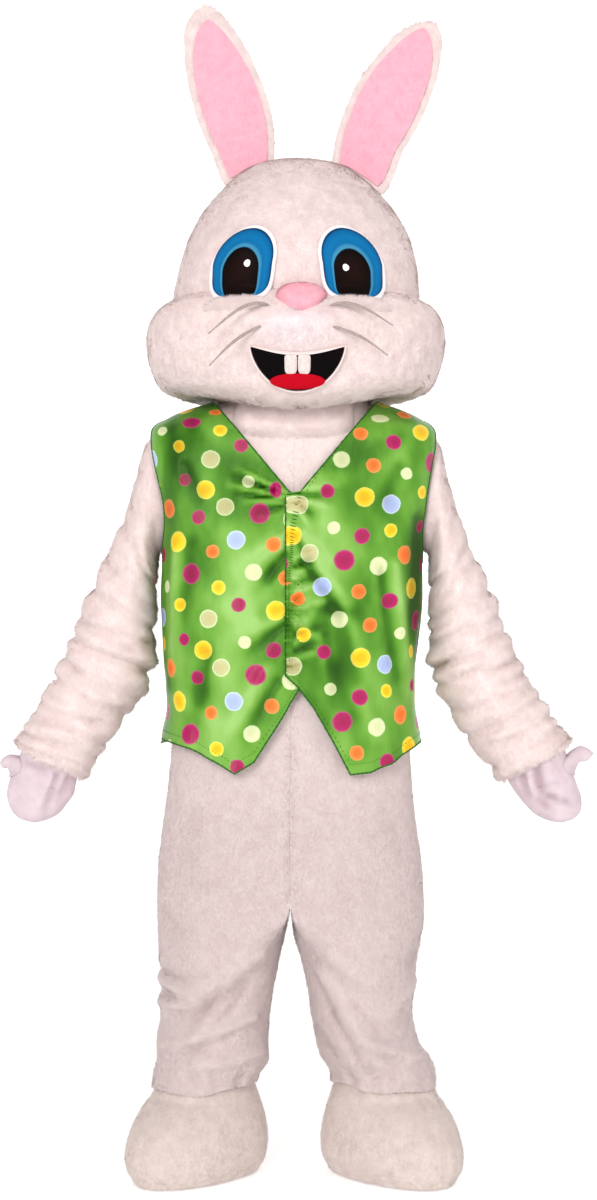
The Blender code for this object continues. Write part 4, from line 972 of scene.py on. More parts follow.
# ---------------------------------------------------------------- pile
@dataclass(frozen=True)
class Pile:
    """Short fur in loose strands, rooted on a plush piece and lying along its nap."""

    length: float = 0.0075
    width: float = 0.0013
    lean: float = 1.24
    swirl: float = 0.7
    per_square_metre: float = 230000.0
    back_share: float = 0.6
    nap: tuple[float, float, float] = (0.0, 0.0, -1.0)
    seed: int = 1
    grain: float = 0.0007

    def grow(self, name: str, skin: Piece, finish: Finish, slot: str = "white_plush",
             where: Optional[Mask] = None) -> Piece:
        """Roots the strands on the outer faces of a piece.

        Args:
            name: the pile's name.
            skin: the plush piece, with its outer faces marked.
            finish: the pile's material.
            slot: the record's material slot.
            where: the share of strands at given points and normals, 0 to 1.

        Returns:
            The pile as one joined mesh.
        """
        rng = np.random.default_rng(self.seed)
        points, normals, maps, areas = self._ground(skin)
        middles, facing = points.mean(axis=1), normals.mean(axis=1)
        weights = areas * np.where(facing[:, 1] < 0.25, 1.0, self.back_share)
        if where is not None:
            weights = weights * where(middles, facing)
        climb = np.cumsum(weights)
        count = int(climb[-1] * self.per_square_metre * (1.0))
        chosen = np.searchsorted(climb, rng.random(count) * climb[-1])
        first, second = np.sqrt(rng.random(count)), rng.random(count)
        shares = np.stack([1 - first, first * (1 - second), first * second], axis=1)[:, :, None]
        root, normal, spot = ((corners[chosen] * shares).sum(axis=1) for corners in (points, normals, maps))
        normal = unit(normal, 1e-12)
        way = self._nap(root, rng)
        way = unit(way - normal * (way * normal).sum(axis=1, keepdims=True))
        lean = (self.lean + rng.normal(0.0, 0.12, count))[:, None]
        ahead = normal * np.cos(lean) + way * np.sin(lean)
        aside = unit(np.cross(ahead, normal)) * (self.width / 2 * rng.uniform(0.7, 1.2, count))[:, None]
        tip = root + ahead * (self.length * rng.uniform(0.65, 1.15, count))[:, None]
        tip[:, 2] = np.maximum(tip[:, 2], 0.0006 - SHOULDER_HEIGHT)
        corners = np.stack([root - aside - normal * 0.0003, root + aside - normal * 0.0003, tip], axis=1)
        # each strand takes the painted fold shade of the skin at its root
        folds = np.repeat(spot[:, None, 2:], 3, axis=1) * (1.0, 0.0) + (0.0, 0.5)
        spots = np.stack([spot[:, :2] + (grain_x * self.grain, grain_y * self.grain)
                          for grain_x, grain_y in ((-1, 0.0), (1, 0.0), (0.0, 2))], axis=1)
        along = np.zeros((count, 3, 2))
        along[:, :, 0] = rng.random(count)[:, None]
        along[:, 2, 1] = 1.0
        soft = unit(normal + 0.18 * way + rng.normal(0.0, 0.035, normal.shape), 0.0)
        layouts = {BAKE_MAP: spots, BLADE_MAP: along, FOLD_SHADE_MAP: folds}
        piece = self._mesh(name, corners, layouts, np.repeat(soft, 3, axis=0), finish)
        return Workroom.dress(piece, slot)

    @staticmethod
    def _read(source: Sequence, label: str, width: int, kind: type = np.float32) -> Array:
        """One attribute of a mesh's parts.

        Args:
            source: the parts.
            label: the attribute.
            width: how many numbers it has.
            kind: their kind.

        Returns:
            A row of numbers for each part.
        """
        values = np.empty(len(source) * width, kind)
        source.foreach_get(label, values)
        return values.reshape(-1, width)

    def _ground(self, skin: Piece) -> tuple[Array, Array, Array, Array]:
        """The outer triangles of a piece.

        Args:
            skin: the plush piece.

        Returns:
            Their corners, the corners' normals, their places on the bake map with their painted fold shade, and their
            areas.
        """
        data, read = skin.data, self._read
        data.calc_loop_triangles()
        cells = read(data.loop_triangles, "polygon_index", 1, np.int32)[:, 0]
        shown = read(data.attributes["outside"].data, "value", 1, np.int32)[cells, 0] == 1
        verts, loops = (read(data.loop_triangles, label, 3, np.int32)[shown] for label in ("vertices", "loops"))
        points, normals = (read(data.vertices, label, 3)[verts].astype(float) for label in ("co", "normal"))
        maps = read(data.uv_layers[BAKE_MAP].uv, "vector", 2)
        shade_tones = np.full((len(maps), 1), 0.5, np.float32)
        if FOLD_SHADE_MAP in data.uv_layers:
            shade_tones = read(data.uv_layers[FOLD_SHADE_MAP].uv, "vector", 2)[:, :1]
        maps = np.concatenate([maps, shade_tones], axis=1)[loops].astype(float)
        areas = np.linalg.norm(np.cross(points[:, 1] - points[:, 0], points[:, 2] - points[:, 0]), axis=1) / 2
        return points, normals, maps, areas

    def _nap(self, root: Array, rng: np.random.Generator) -> Array:
        """The way that each strand lies before it is laid on the surface, by its root."""
        broad, small = (np.array([noise.noise_vector(Vector(point) * scale) for point in root])
                        for scale in (38.0, 130.0))
        return np.array(self.nap) + self.swirl * (broad * 1.5 + small * 0.9) + rng.normal(0.0, 0.22, root.shape)

    @staticmethod
    def _mesh(name: str, corners: Array, layouts: dict[str, Array], soft: Array, finish: Finish) -> Piece:
        """Joins the strands into one mesh.

        Args:
            name: the pile's name.
            corners: three corners for each strand.
            layouts: their places on each map.
            soft: the normal at each corner, close to the skin's, so that the pile is shaded as one surface.
            finish: the pile's material.

        Returns:
            The piece.
        """
        count = len(corners)
        data = bpy.data.meshes.new(name)
        data.vertices.add(count * 3)
        data.vertices.foreach_set("co", corners.astype(np.float32).ravel())
        data.loops.add(count * 3)
        data.loops.foreach_set("vertex_index", np.arange(count * 3, dtype=np.int32))
        data.polygons.add(count)
        data.polygons.foreach_set("loop_start", np.arange(0, count * 3, 3, dtype=np.int32))
        for label, values in layouts.items():
            data.uv_layers.new(name=label).uv.foreach_set("vector", values.astype(np.float32).ravel())
        data.update(calc_edges=True)
        data.validate()
        data.normals_split_custom_set_from_vertices(soft)
        data.materials.append(finish)
        piece = bpy.data.objects.new(name, data)
        piece.visible_shadow = False
        bpy.context.collection.objects.link(piece)
        LOG.info("%s: %d strands", name, count)
        return piece


# ---------------------------------------------------------------- head
@dataclass
class Head:
    """The foam head under its plush: a wide ring of cheeks sewn to the crown."""

    wardrobe: Wardrobe
    seam_row: float = 9.0
    seam_height: float = 1.547
    nape_half_width: float = 0.220
    foam: float = 0.010
    face_mid: float = 0.0045
    rows: tuple[Level, ...] = table(
        Level,
        (1.358, -0.13, 0.134, -0.122, 0.124, 2.0, 0.036), (1.347, -0.15, 0.154, -0.156, 0.146, 2.0, 0.034),
        (1.353, -0.182, 0.186, -0.192, 0.17, 2.1, 0.026), (1.37, -0.216, 0.22, -0.215, 0.192, 2.2, 0.012),
        (1.394, -0.241, 0.244, -0.228, 0.204, 2.3), (1.43, -0.259, 0.26, -0.236, 0.211, 2.3),
        (1.472, -0.266, 0.268, -0.239, 0.215, 2.3), (1.503, -0.262, 0.266, -0.237, 0.216, 2.3),
        (1.529, -0.247, 0.252, -0.231, 0.215, 2.3), (1.547, -0.222, 0.227, -0.222, 0.213, 2.3),
        (1.575, -0.214, 0.222, -0.222, 0.213, 2.3), (1.612, -0.206, 0.218, -0.22, 0.212, 2.3),
        (1.66, -0.19, 0.205, -0.207, 0.204, 2.2), (1.703, -0.168, 0.182, -0.184, 0.186, 2.1),
        (1.741, -0.138, 0.152, -0.154, 0.158, 2.0), (1.771, -0.105, 0.118, -0.118, 0.124, 2.0),
        (1.793, -0.068, 0.08, -0.078, 0.084, 2.0), (1.806, 0.006, 0.006, 0.0, 0.0, 2.0),
    )
    bulges: tuple[Bulge, ...] = table(
        Bulge,
        (0.0045, 1.487, 0.082, 0.04, 0.036), (-0.15, 1.44, 0.075, 0.07, 0.012), (0.158, 1.44, 0.075, 0.07, 0.012),
    )
    dimples: tuple[Fold, ...] = table(
        Fold,
        (0.0045, 1.508, 0.0045, 1.44, -0.0035, 0.007), (-0.052, 1.52, -0.086, 1.47, -0.0028, 0.012),
        (0.062, 1.52, 0.094, 1.47, -0.0028, 0.012), (-0.09, 1.44, -0.07, 1.385, -0.0022, 0.013),
        (0.099, 1.44, 0.078, 1.385, -0.0022, 0.013), (0.004, 1.64, 0.006, 1.76, -0.0014, 0.01),
        (-0.136, 1.51, -0.06, 1.51, 0.0026, 0.016), (0.145, 1.51, 0.069, 1.51, 0.0026, 0.016),
    )
    lid_height: float = 1.5205
    lid_out: float = 0.1000
    lid_width: float = 0.124
    lid_radius: float = 0.0098

    def __post_init__(self) -> None:
        """Joins the rows."""
        self.form = Rows(self.rows, 1.0)
        self.centre = Vector((0.004, 0.0, self.seam_height))

    def forward(self, x: float, z: float) -> float:
        """How far the muzzle and cheeks stand forward of the plain head."""
        return sum(
            b.forward * math.exp(-(((x - b.x) / b.width) ** 2) - ((z - b.z) / b.height) ** 2) for b in self.bulges
        )

    def layers(self, angle: float, row: float) -> Layers:
        """Outer and inner point of the head's wall, under the pile.

        Args:
            angle: the angle round it.
            row: its row.

        Returns:
            Both points.
        """
        level = self.form.at(row)
        point, _ = level_point(level, angle)
        if level.half > self.nape_half_width and point.y > 0:
            narrow = 1 + (self.nape_half_width / level.half - 1) * ease(point.y / 0.10)
            point.x = level.middle + (point.x - level.middle) * narrow
        facing = ease(-point.y / 0.12)
        point.y -= (self.forward(point.x, point.z) + fold_height(self.dimples, point.x, point.z)) * facing
        inward = (self.centre - point).normalized()
        groove = 0.0032 * math.exp(-(((row - self.seam_row) / 0.30) ** 2))
        wave = 0.0012 * noise.noise(point * 14.0)
        return point + inward * (PILE_DEPTH + groove + wave), point + inward * self.foam

    def point(self, x: float, z: float, lift: float) -> Vector:
        """A point over the front of the head, moved out along its slope.

        Args:
            x: place across.
            z: height above the floor.
            lift: how far it stands off.

        Returns:
            The point.
        """
        def depth(at_x: float, at_z: float) -> float:
            """The plain head's front at a place."""
            level = self.form.level(at_z)
            across = min(abs(at_x - level.middle) / level.half, 0.999)
            return level.front * (1 - across**level.square) ** (1 / level.square) - self.forward(at_x, at_z)

        step = 0.006
        slope_x = (depth(x + step, z) - depth(x - step, z)) / (2 * step)
        slope_z = (depth(x, z + step) - depth(x, z - step)) / (2 * step)
        out = Vector((slope_x, -1.0, slope_z)).normalized()
        return Vector((x, depth(x, z), z)) + out * lift

    def top(self, x: float, y: float) -> float:
        """The height of the crown over a point of the floor.

        Args:
            x: place across.
            y: place along the depth.

        Returns:
            The height above the floor.
        """
        low, high = self.seam_row, float(self.form.last)
        for _ in range(22):
            middle = (low + high) / 2
            level = self.form.at(middle)
            depth = max(level.back if y > 0 else -level.front, 1e-6)
            across = (x - level.middle) / max(level.half, 1e-6)
            inside = abs(across) ** level.square + abs(y / depth) ** level.square < 1
            low, high = (middle, high) if inside else (low, middle)
        return self.form.at(low).height

    def lid(self, side: Side) -> None:
        """Makes the plush roll of the cheek that hides the bottom of an eye.

        Args:
            side: the eye's side.
        """
        middle = self.face_mid + side.sign * self.lid_out

        def roll(u: float, v: float) -> Layers:
            """Outer and inner point of the roll."""
            x, turn = middle + self.lid_width * (u - 0.5), math.pi * (0.02 + 1.0 * v)
            height = self.lid_height - 0.007 * (2 * u - 1) ** 4
            base = self.point(x, height, -0.002)
            out = (self.point(x, height, 0.01) - base).normalized()
            thick = self.lid_radius * math.sin(math.pi * (0.01 + 0.98 * u)) ** 0.6
            thick += 0.0012 * noise.noise(Vector((x * 90.0, side.sign, 0.0)))
            fall = 1.0 if turn < math.pi / 2 else 2.2
            arm = Vector((0.0, 0.0, 1.0)) * math.cos(turn) * thick * fall + out * math.sin(turn) * thick * 0.95
            return base + arm, base + arm * 0.55

        piece = Workroom.wall(f"lid_plush_{side.value}", [Patch(roll, 44, 12)], self.wardrobe["head"])
        tufts = Pile(length=0.0068, width=0.0014, lean=0.85, swirl=0.5, per_square_metre=800000.0,
                     nap=(0.0, 0.0, 1.0), seed=7 + side.sign)
        tufts.grow(f"lid_pile_{side.value}", piece, self.wardrobe["head_pile"])

    def build(self, openings: Sequence[Mask]) -> None:
        """Makes the cheeks, the crown, their pile and the lids.

        Args:
            openings: masks of the places that eyes, nose and mouth cover.
        """
        def clear(points: Array, normals: Array) -> Array:
            """No pile under the eyes, nose and mouth."""
            share = np.ones(len(points))
            for opening in openings:
                share = share * opening(points, normals)
            return share

        for name, first, last, cells, nodes, lift, back_share in (
            ("cheeks", 0.0, self.seam_row, (132, 56), ("head_face", "head_nape"), -CLEAR / 2, 0.42),
            ("crown", self.seam_row, float(self.form.last), (112, 46), ("crown_front", "crown_back"), CLEAR / 2, 0.5),
        ):
            def surface(u: float, v: float, first: float = first, last: float = last) -> Layers:
                """Both points of this stretch of the head."""
                return self.layers(TURN * u, first + (last - first) * v)

            piece = Workroom.wall(name, [Patch(surface, *cells)], self.wardrobe["head"], nodes, shift=(0.0, 0.0, lift))
            pile = Pile(length=0.0078, lean=1.16, per_square_metre=240000.0, back_share=back_share, seed=len(name))
            pile.grow(name + "_pile", piece, self.wardrobe["head_pile"], where=clear)
        for side in Side:
            self.lid(side)


@dataclass(frozen=True)
class Arch:
    """An outline with a round top and a flatter bottom."""

    centre_x: float
    height: float
    half_width: float
    top: float
    bottom: float
    lean: float = 0.0
    corner: float = 3.2
    crown: float = 2.0
    foot_lean: float = 0.0

    def at(self, u: float) -> Place:
        """The outline's point at a share of its turn."""
        along, up = math.cos(TURN * u), math.sin(TURN * u)
        square, deep = (self.crown, self.top) if up > 0 else (self.corner, self.bottom)
        x, z = self.half_width * power(along, 2 / square), deep * power(up, 2 / square)
        return self.centre_x + x + (self.lean if up > 0 else self.foot_lean) * z, self.height + z

    def middle(self, _u: float) -> Place:
        """The outline's middle, whatever the share of its turn."""
        return self.centre_x, self.height

    def grown(self, grow: float) -> "Arch":
        """The same outline, larger all round."""
        return replace(self, half_width=self.half_width + grow, top=self.top + grow, bottom=self.bottom + grow)

    def dome(self, x: float, z: float, grow: float = 0.0) -> float:
        """A dome over the outline: 1 at its middle and 0 past its edge."""
        away = ((x - self.centre_x) / (self.half_width + grow)) ** 2 + ((z - self.height) / (self.top + grow)) ** 2
        return max(1 - away, 0.0)

    def mask(self, grow: float) -> Mask:
        """A mask that is 0 inside the outline on the front of the head.

        Args:
            grow: how much larger the covered place is.

        Returns:
            The mask.
        """
        def share(points: Array, normals: Array) -> Array:
            """1 outside the outline, 0 inside it."""
            z = points[:, 2] + SHOULDER_HEIGHT - self.height
            lean = np.where(z > 0, self.lean, self.foot_lean)
            x = (points[:, 0] - self.centre_x - lean * z) / (self.half_width + grow)
            above = np.abs(x) ** self.crown + np.abs(z / (self.top + grow)) ** self.crown
            below = np.abs(x) ** self.corner + np.abs(z / (self.bottom + grow)) ** self.corner
            return uncovered(np.where(z > 0, above, below) < 1.0, points)

        return share


def uncovered(inside: Array, points: Array) -> Array:
    """A mask that is 0 for the points of the head's front that are inside."""
    return np.where(inside & (points[:, 1] < 0), 0.0, 1.0)


@dataclass
class Applique:
    """Thin pieces laid on the face between two outlines."""

    head: Head

    def plate(self, name: str, lines: tuple[Line, Line], cells: tuple[int, int], finish: str, slot: str, node: str,
              lift: float, thickness: float, rise: Optional[Tone] = None, sink: float = 0.0,
              edge: float = 0.0) -> Piece:
        """One laid piece.

        Args:
            name: the piece's name.
            lines: its inner and its outer outline.
            cells: faces round it and across it.
            finish: its finish in the wardrobe.
            slot: the record's material slot.
            node: the plain node that it stands for.
            lift: how far its back stands off the solid head.
            thickness: its thickness.
            rise: how far its front is domed at a place.
            sink: how far its back goes down into the pile.
            edge: how far its outer edge is rounded over.

        Returns:
            The piece.
        """
        def surface(u: float, v: float) -> Layers:
            """Both points of the plate."""
            (near_x, near_z), (far_x, far_z) = (line(u) for line in lines)
            x, z = near_x + (far_x - near_x) * v, near_z + (far_z - near_z) * v
            over = (rise(x, z) if rise else 0.0) - edge * max((v - 0.7) / 0.3, 0.0) ** 2
            return self.head.point(x, z, lift + over + thickness), self.head.point(x, z, lift - sink)

        return Workroom.wall(name, [Patch(surface, *cells)], self.head.wardrobe[finish], [node], slot, crease=50.0)


@dataclass
class Eye(Applique):
    """One eye: a felt border, a blue iris, its pupil and its shine."""

    side: Side = Side.LEFT
    out: float = 0.0915
    height: float = 1.590
    half_width: float = 0.0490
    top: float = 0.059
    bottom: float = 0.062
    lean: float = 0.30
    foot_lean: float = 0.10
    border: float = 0.0055
    dome: float = 0.012
    lift: float = 0.0012
    gap: float = 0.0003
    vinyl: float = 0.0030

    def __post_init__(self) -> None:
        """Draws the outlines."""
        sign, mid, left = self.side.sign, self.head.face_mid, self.side is Side.LEFT
        self.iris = Arch(mid + sign * self.out, self.height, self.half_width, self.top, self.bottom,
                         -sign * self.lean, 3.8, 1.86, -sign * self.foot_lean)
        self.pupil = Arch(mid + (-0.0925 if left else 0.0885), 1.575, 0.0285, 0.0370 if left else 0.0345,
                          0.0458, -sign * 0.17, 6.0, 1.95, -sign * 0.12)
        across, up = (-0.0805, 1.5868) if left else (0.0775, 1.5800)
        self.glint = Arch(mid + across, up, 0.0048, 0.0060, 0.0060, 0.25 * -sign, 2.0)

    def rise(self, x: float, z: float) -> float:
        """How far the eye is domed at a place."""
        return self.dome * self.iris.dome(x, z, self.border)

    def build(self) -> None:
        """Makes the eye's pieces."""
        iris, pupil, glint, vinyl = self.iris, self.pupil, self.glint, self.vinyl
        for part, kind, finish, slot, inner, outer, cells, over, thickness, rise, sink, edge in (
            ("border", "felt", "felt", "white_felt", iris.grown(self.gap).at, iris.grown(self.border).at, (96, 4),
             0.0, 0.0030, None, 0.0040, 0.0012),
            ("iris", "vinyl", "iris", "eye_blue", pupil.grown(self.gap).at, iris.at, (96, 14),
             0.0, vinyl, self.rise, 0.0036, 0.0006),
            ("pupil", "vinyl", "pupil", "eye_black", pupil.middle, pupil.at, (96, 12),
             0.0, vinyl, self.rise, 0.0036, 0.0005),
            ("shine", "vinyl", "shine", "white_felt", glint.middle, glint.at, (40, 5),
             0.0036, 0.0008, self.rise, 0.0, 0.0003),
        ):
            self.plate(f"eye_{part}_{kind}_{self.side.value}", (inner, outer), cells, finish, slot,
                       f"eye_{part}_{self.side.value}", self.lift + over, thickness, rise, sink, edge)


@dataclass
class Nose(Applique):
    """The padded nose, a rounded triangle with its point down."""

    centre_x: float = 0.011
    height: float = 1.531
    half_width: float = 0.0435
    top: float = 0.0195
    bottom: float = 0.025
    depth: float = 0.024

    def outline(self, u: float) -> Place:
        """The nose's outline."""
        along, up = math.cos(TURN * u), math.sin(TURN * u)
        z = self.top * power(up, 0.65) if up > 0 else self.bottom * up
        narrow = 1.0 if up > 0 else 1.0 - 0.45 * -up
        return self.centre_x + self.half_width * along * narrow, self.height + z

    def rise(self, x: float, z: float) -> float:
        """How far the nose is padded at a place."""
        away = math.hypot((x - self.centre_x) / self.half_width, (z - self.height) / self.bottom)
        return self.depth * math.sqrt(max(1 - 0.92 * min(away, 1.0) ** 2, 0.0)) - self.depth * 0.28 - 0.0014

    def mask(self, points: Array, normals: Array) -> Array:
        """No pile under the nose."""
        x = (points[:, 0] - self.centre_x) / (self.half_width - 0.004)
        z = (points[:, 2] + SHOULDER_HEIGHT - self.height) / (self.bottom - 0.004)
        return uncovered(x * x + z * z < 1.0, points)

    def build(self) -> None:
        """Makes the nose and its short nap."""
        nose = self.plate("nose_pad", (lambda u: (self.centre_x, self.height), self.outline), (64, 16), "nose",
                          "pink_plush", "nose", 0.0036, 0.0, self.rise, 0.0062, 0.004)
        nap = Pile(length=0.0032, width=0.0009, lean=1.05, per_square_metre=900000.0, seed=21)
        nap.grow("nose_pile", nose, self.head.wardrobe["nose_pile"], "pink_plush")


@dataclass
class Mouth(Applique):
    """The open smile: felt border, dark panel, tongue and two front teeth."""

    corner: float = 0.077
    corner_height: float = 1.446
    lip_height: float = 1.431
    bottom_height: float = 1.376
    border: float = 0.0042
    lift: float = 0.0024
    panel: float = 0.002
    tongue: Arch = Arch(0.0045, 1.39075, 0.046, 0.01225, 0.01225, 0.0, 2.0)
    tooth: Arch = Arch(0.0112, 1.4185, 0.0106, 0.0155, 0.0170, 0.0, 3.4, 6.0)

    def smile(self, grow: float) -> Line:
        """The mouth's outline.

        Args:
            grow: how much wider it is all round.

        Returns:
            The outline.
        """
        half = self.corner + grow

        def outline(u: float) -> Place:
            """The outline's point at a share of its turn."""
            across, up = math.cos(TURN * u), math.sin(TURN * u)
            if up > 0:
                z = self.corner_height + (self.lip_height - self.corner_height) * math.cos(across * math.pi / 2)
                z += grow * math.sqrt(up)
            else:
                deep = self.corner_height - self.bottom_height + grow
                z = self.corner_height - deep * (1 - abs(across) ** 2.1) ** 0.62
            return self.head.face_mid + half * across, z

        return outline

    def mask(self, points: Array, normals: Array) -> Array:
        """No pile under the mouth."""
        x = np.abs(points[:, 0] - self.head.face_mid) / (self.corner + 0.001)
        z, near = points[:, 2] + SHOULDER_HEIGHT, np.minimum(x, 1.0)
        upper = self.corner_height + (self.lip_height - self.corner_height) * np.cos(near * math.pi / 2)
        lower = self.corner_height - (self.corner_height - self.bottom_height) * np.maximum(1 - near**2.1, 0.0) ** 0.62
        return uncovered((x < 1.0) & (z < upper + 0.001) & (z > lower - 0.002), points)

    def build(self) -> None:
        """Makes the mouth's pieces."""
        self.plate("mouth_border_felt", (self.smile(0.0015), self.smile(self.border + 0.0004)), (160, 3), "lip",
                   "white_felt", "mouth_border", self.lift, 0.0022, None, 0.0050, 0.0010)
        middle = (self.head.face_mid, (self.lip_height + self.bottom_height) / 2)
        self.plate("mouth_felt", (lambda u: middle, self.smile(0.0)), (96, 8), "dark_felt", "mouth_black", "mouth",
                   self.lift, self.panel, None, 0.0050)
        over = self.lift + self.panel + 0.0009
        self.plate("tongue_felt", (self.tongue.middle, self.tongue.at), (72, 8), "red_felt", "tongue_red", "tongue",
                   over, 0.0036, lambda x, z: 0.0022 * self.tongue.dome(x, z) - 0.0008, 0.0, 0.0012)
        for side in Side:
            tooth = replace(self.tooth, centre_x=self.head.face_mid + side.sign * self.tooth.centre_x)
            self.plate(f"tooth_enamel_{side.value}", (tooth.middle, tooth.at), (48, 8), "tooth", "tooth_cream",
                       f"tooth_{side.value}", over, 0.0038,
                       lambda x, z, tooth=tooth: 0.0020 * tooth.dome(x, z) - 0.0006, 0.0, 0.0016)


@dataclass
class Whiskers:
    """Four thin bent bristles sewn into the sides of the muzzle."""

    head: Head
    radius: float = 0.0026
    steps: int = 24
    bristles: tuple[Whisker, ...] = table(
        Whisker,
        ("left_upper", -0.04, 1.516, -0.132, 1.465, 0.0125), ("left_lower", -0.058, 1.478, -0.132, 1.422, 0.0085),
        ("right_upper", 0.056, 1.515, 0.149, 1.477, 0.011), ("right_lower", 0.066, 1.477, 0.143, 1.436, 0.008),
    )

    def build(self) -> None:
        """Makes the bristles."""
        for bristle in self.bristles:
            path, radii = [], []
            for part in (step / self.steps for step in range(self.steps + 1)):
                x = bristle.root_x + (bristle.tip_x - bristle.root_x) * part
                z = bristle.root_z + (bristle.tip_z - bristle.root_z) * part
                path.append(self.head.point(x, z, -0.0030 + 0.0055 * ease(4 * part) + 0.030 * part))
                path[-1].z += bristle.sag * math.sin(math.pi * part)
                radii.append(self.radius * (0.50 + 0.55 * math.sin(math.pi * min(0.12 + part, 1.0))))
            name = "whisker_" + bristle.name
            Workroom.strands(name + "_bristle", [(path, radii)], 8, self.head.wardrobe["whisker"], "whisker_grey",
                             [name])


@dataclass
class Ear:
    """One foam ear in white plush with a pink lining in its cupped front."""

    head: Head
    side: Side
    rows: tuple[Cross, ...]
    cup: float = 0.012
    rim: float = 0.0165
    seat: float = 0.0008

    def __post_init__(self) -> None:
        """Joins the rows."""
        self.form = Rows(self.rows)

    def ring(self, angle: float, row: float) -> Layers:
        """A point of the ear and the way into it.

        Args:
            angle: the angle round it.
            row: its row.

        Returns:
            The point and the way inward.
        """
        point, inward = cross_point(self.form.at(row), angle, self.cup * (1 - max(row, 0.0) / self.form.last))
        if row < 1.0:
            seat = self.head.top(point.x, point.y) + self.seat
            point.z = seat + (point.z - seat) * ease(row)
        return point, inward

    def build(self) -> None:
        """Makes the ear, its lining and their pile."""
        name, wardrobe, last = self.side.value, self.head.wardrobe, self.form.last

        def shell(u: float, v: float) -> Layers:
            """The ear's skin, closed at its tip."""
            row = last * (1 - (1 - v) ** 1.25)
            point, inward = self.ring(TURN * u, row)
            depth = min(PILE_DEPTH, 0.35 * self.form.at(row).depth)
            skin = point + inward * depth
            return skin, skin + inward * depth * 0.5

        ear = Workroom.wall(f"ear_plush_{name}", [Patch(shell, 56, 40)], wardrobe["white"], [f"ear_{name}"])

        def lining(u: float, v: float) -> Layers:
            """Both sides of the pink lining."""
            row = 0.28 + (last - 1.80) * v
            half = self.form.at(row).width / 2
            share = max(half - self.rim, 0.002) / half * math.sqrt(max(1 - v**6, 0.02))
            point, inward = self.ring(-math.acos(share * (2 * u - 1)), row)
            return point - inward * 0.0012, point + inward * (PILE_DEPTH - 0.0006)

        pink = Workroom.wall(f"ear_lining_plush_{name}", [Patch(lining, 36, 44)], wardrobe["pink"],
                             [f"ear_lining_{name}"], "pink_plush")
        nap = Pile(length=0.0036, width=0.0011, lean=1.1, per_square_metre=330000.0, seed=31 + self.side.sign)
        soft = nap.grow(f"ear_lining_pile_{name}", pink, wardrobe["pink_pile"], "pink_plush")

        def around(points: Array, normals: Array) -> Array:
            """No pile where the lining covers the front."""
            z = points[:, 2] + SHOULDER_HEIGHT
            outer, inner = (np.interp(z, [getattr(r, zs) for r in self.rows], [getattr(r, xs) for r in self.rows])
                            for zs, xs in (("outer_z", "outer_x"), ("inner_z", "inner_x")))
            edge = np.minimum(np.abs(points[:, 0] - outer), np.abs(points[:, 0] - inner))
            covered = (normals[:, 1] < -0.35) & (edge > self.rim + 0.001) & (z < self.rows[-1].outer_z - 0.045)
            return np.where(covered, 0.0, 1.0)

        fur = Pile(length=0.0085, per_square_metre=300000.0, nap=(0.0, 0.0, 1.0), lean=1.0, seed=41 + self.side.sign)
        fur.grow(f"ear_pile_{name}", ear, wardrobe["white_pile"], where=around)


# ---------------------------------------------------------------- suit
def plush_fold_shading(rise: float) -> float:
    """Painted shade of folded plush at a rise, 0 in the deepest trough and 1 on the highest ridge."""
    return clamp(0.55 + 0.5 * rise / 0.0095)


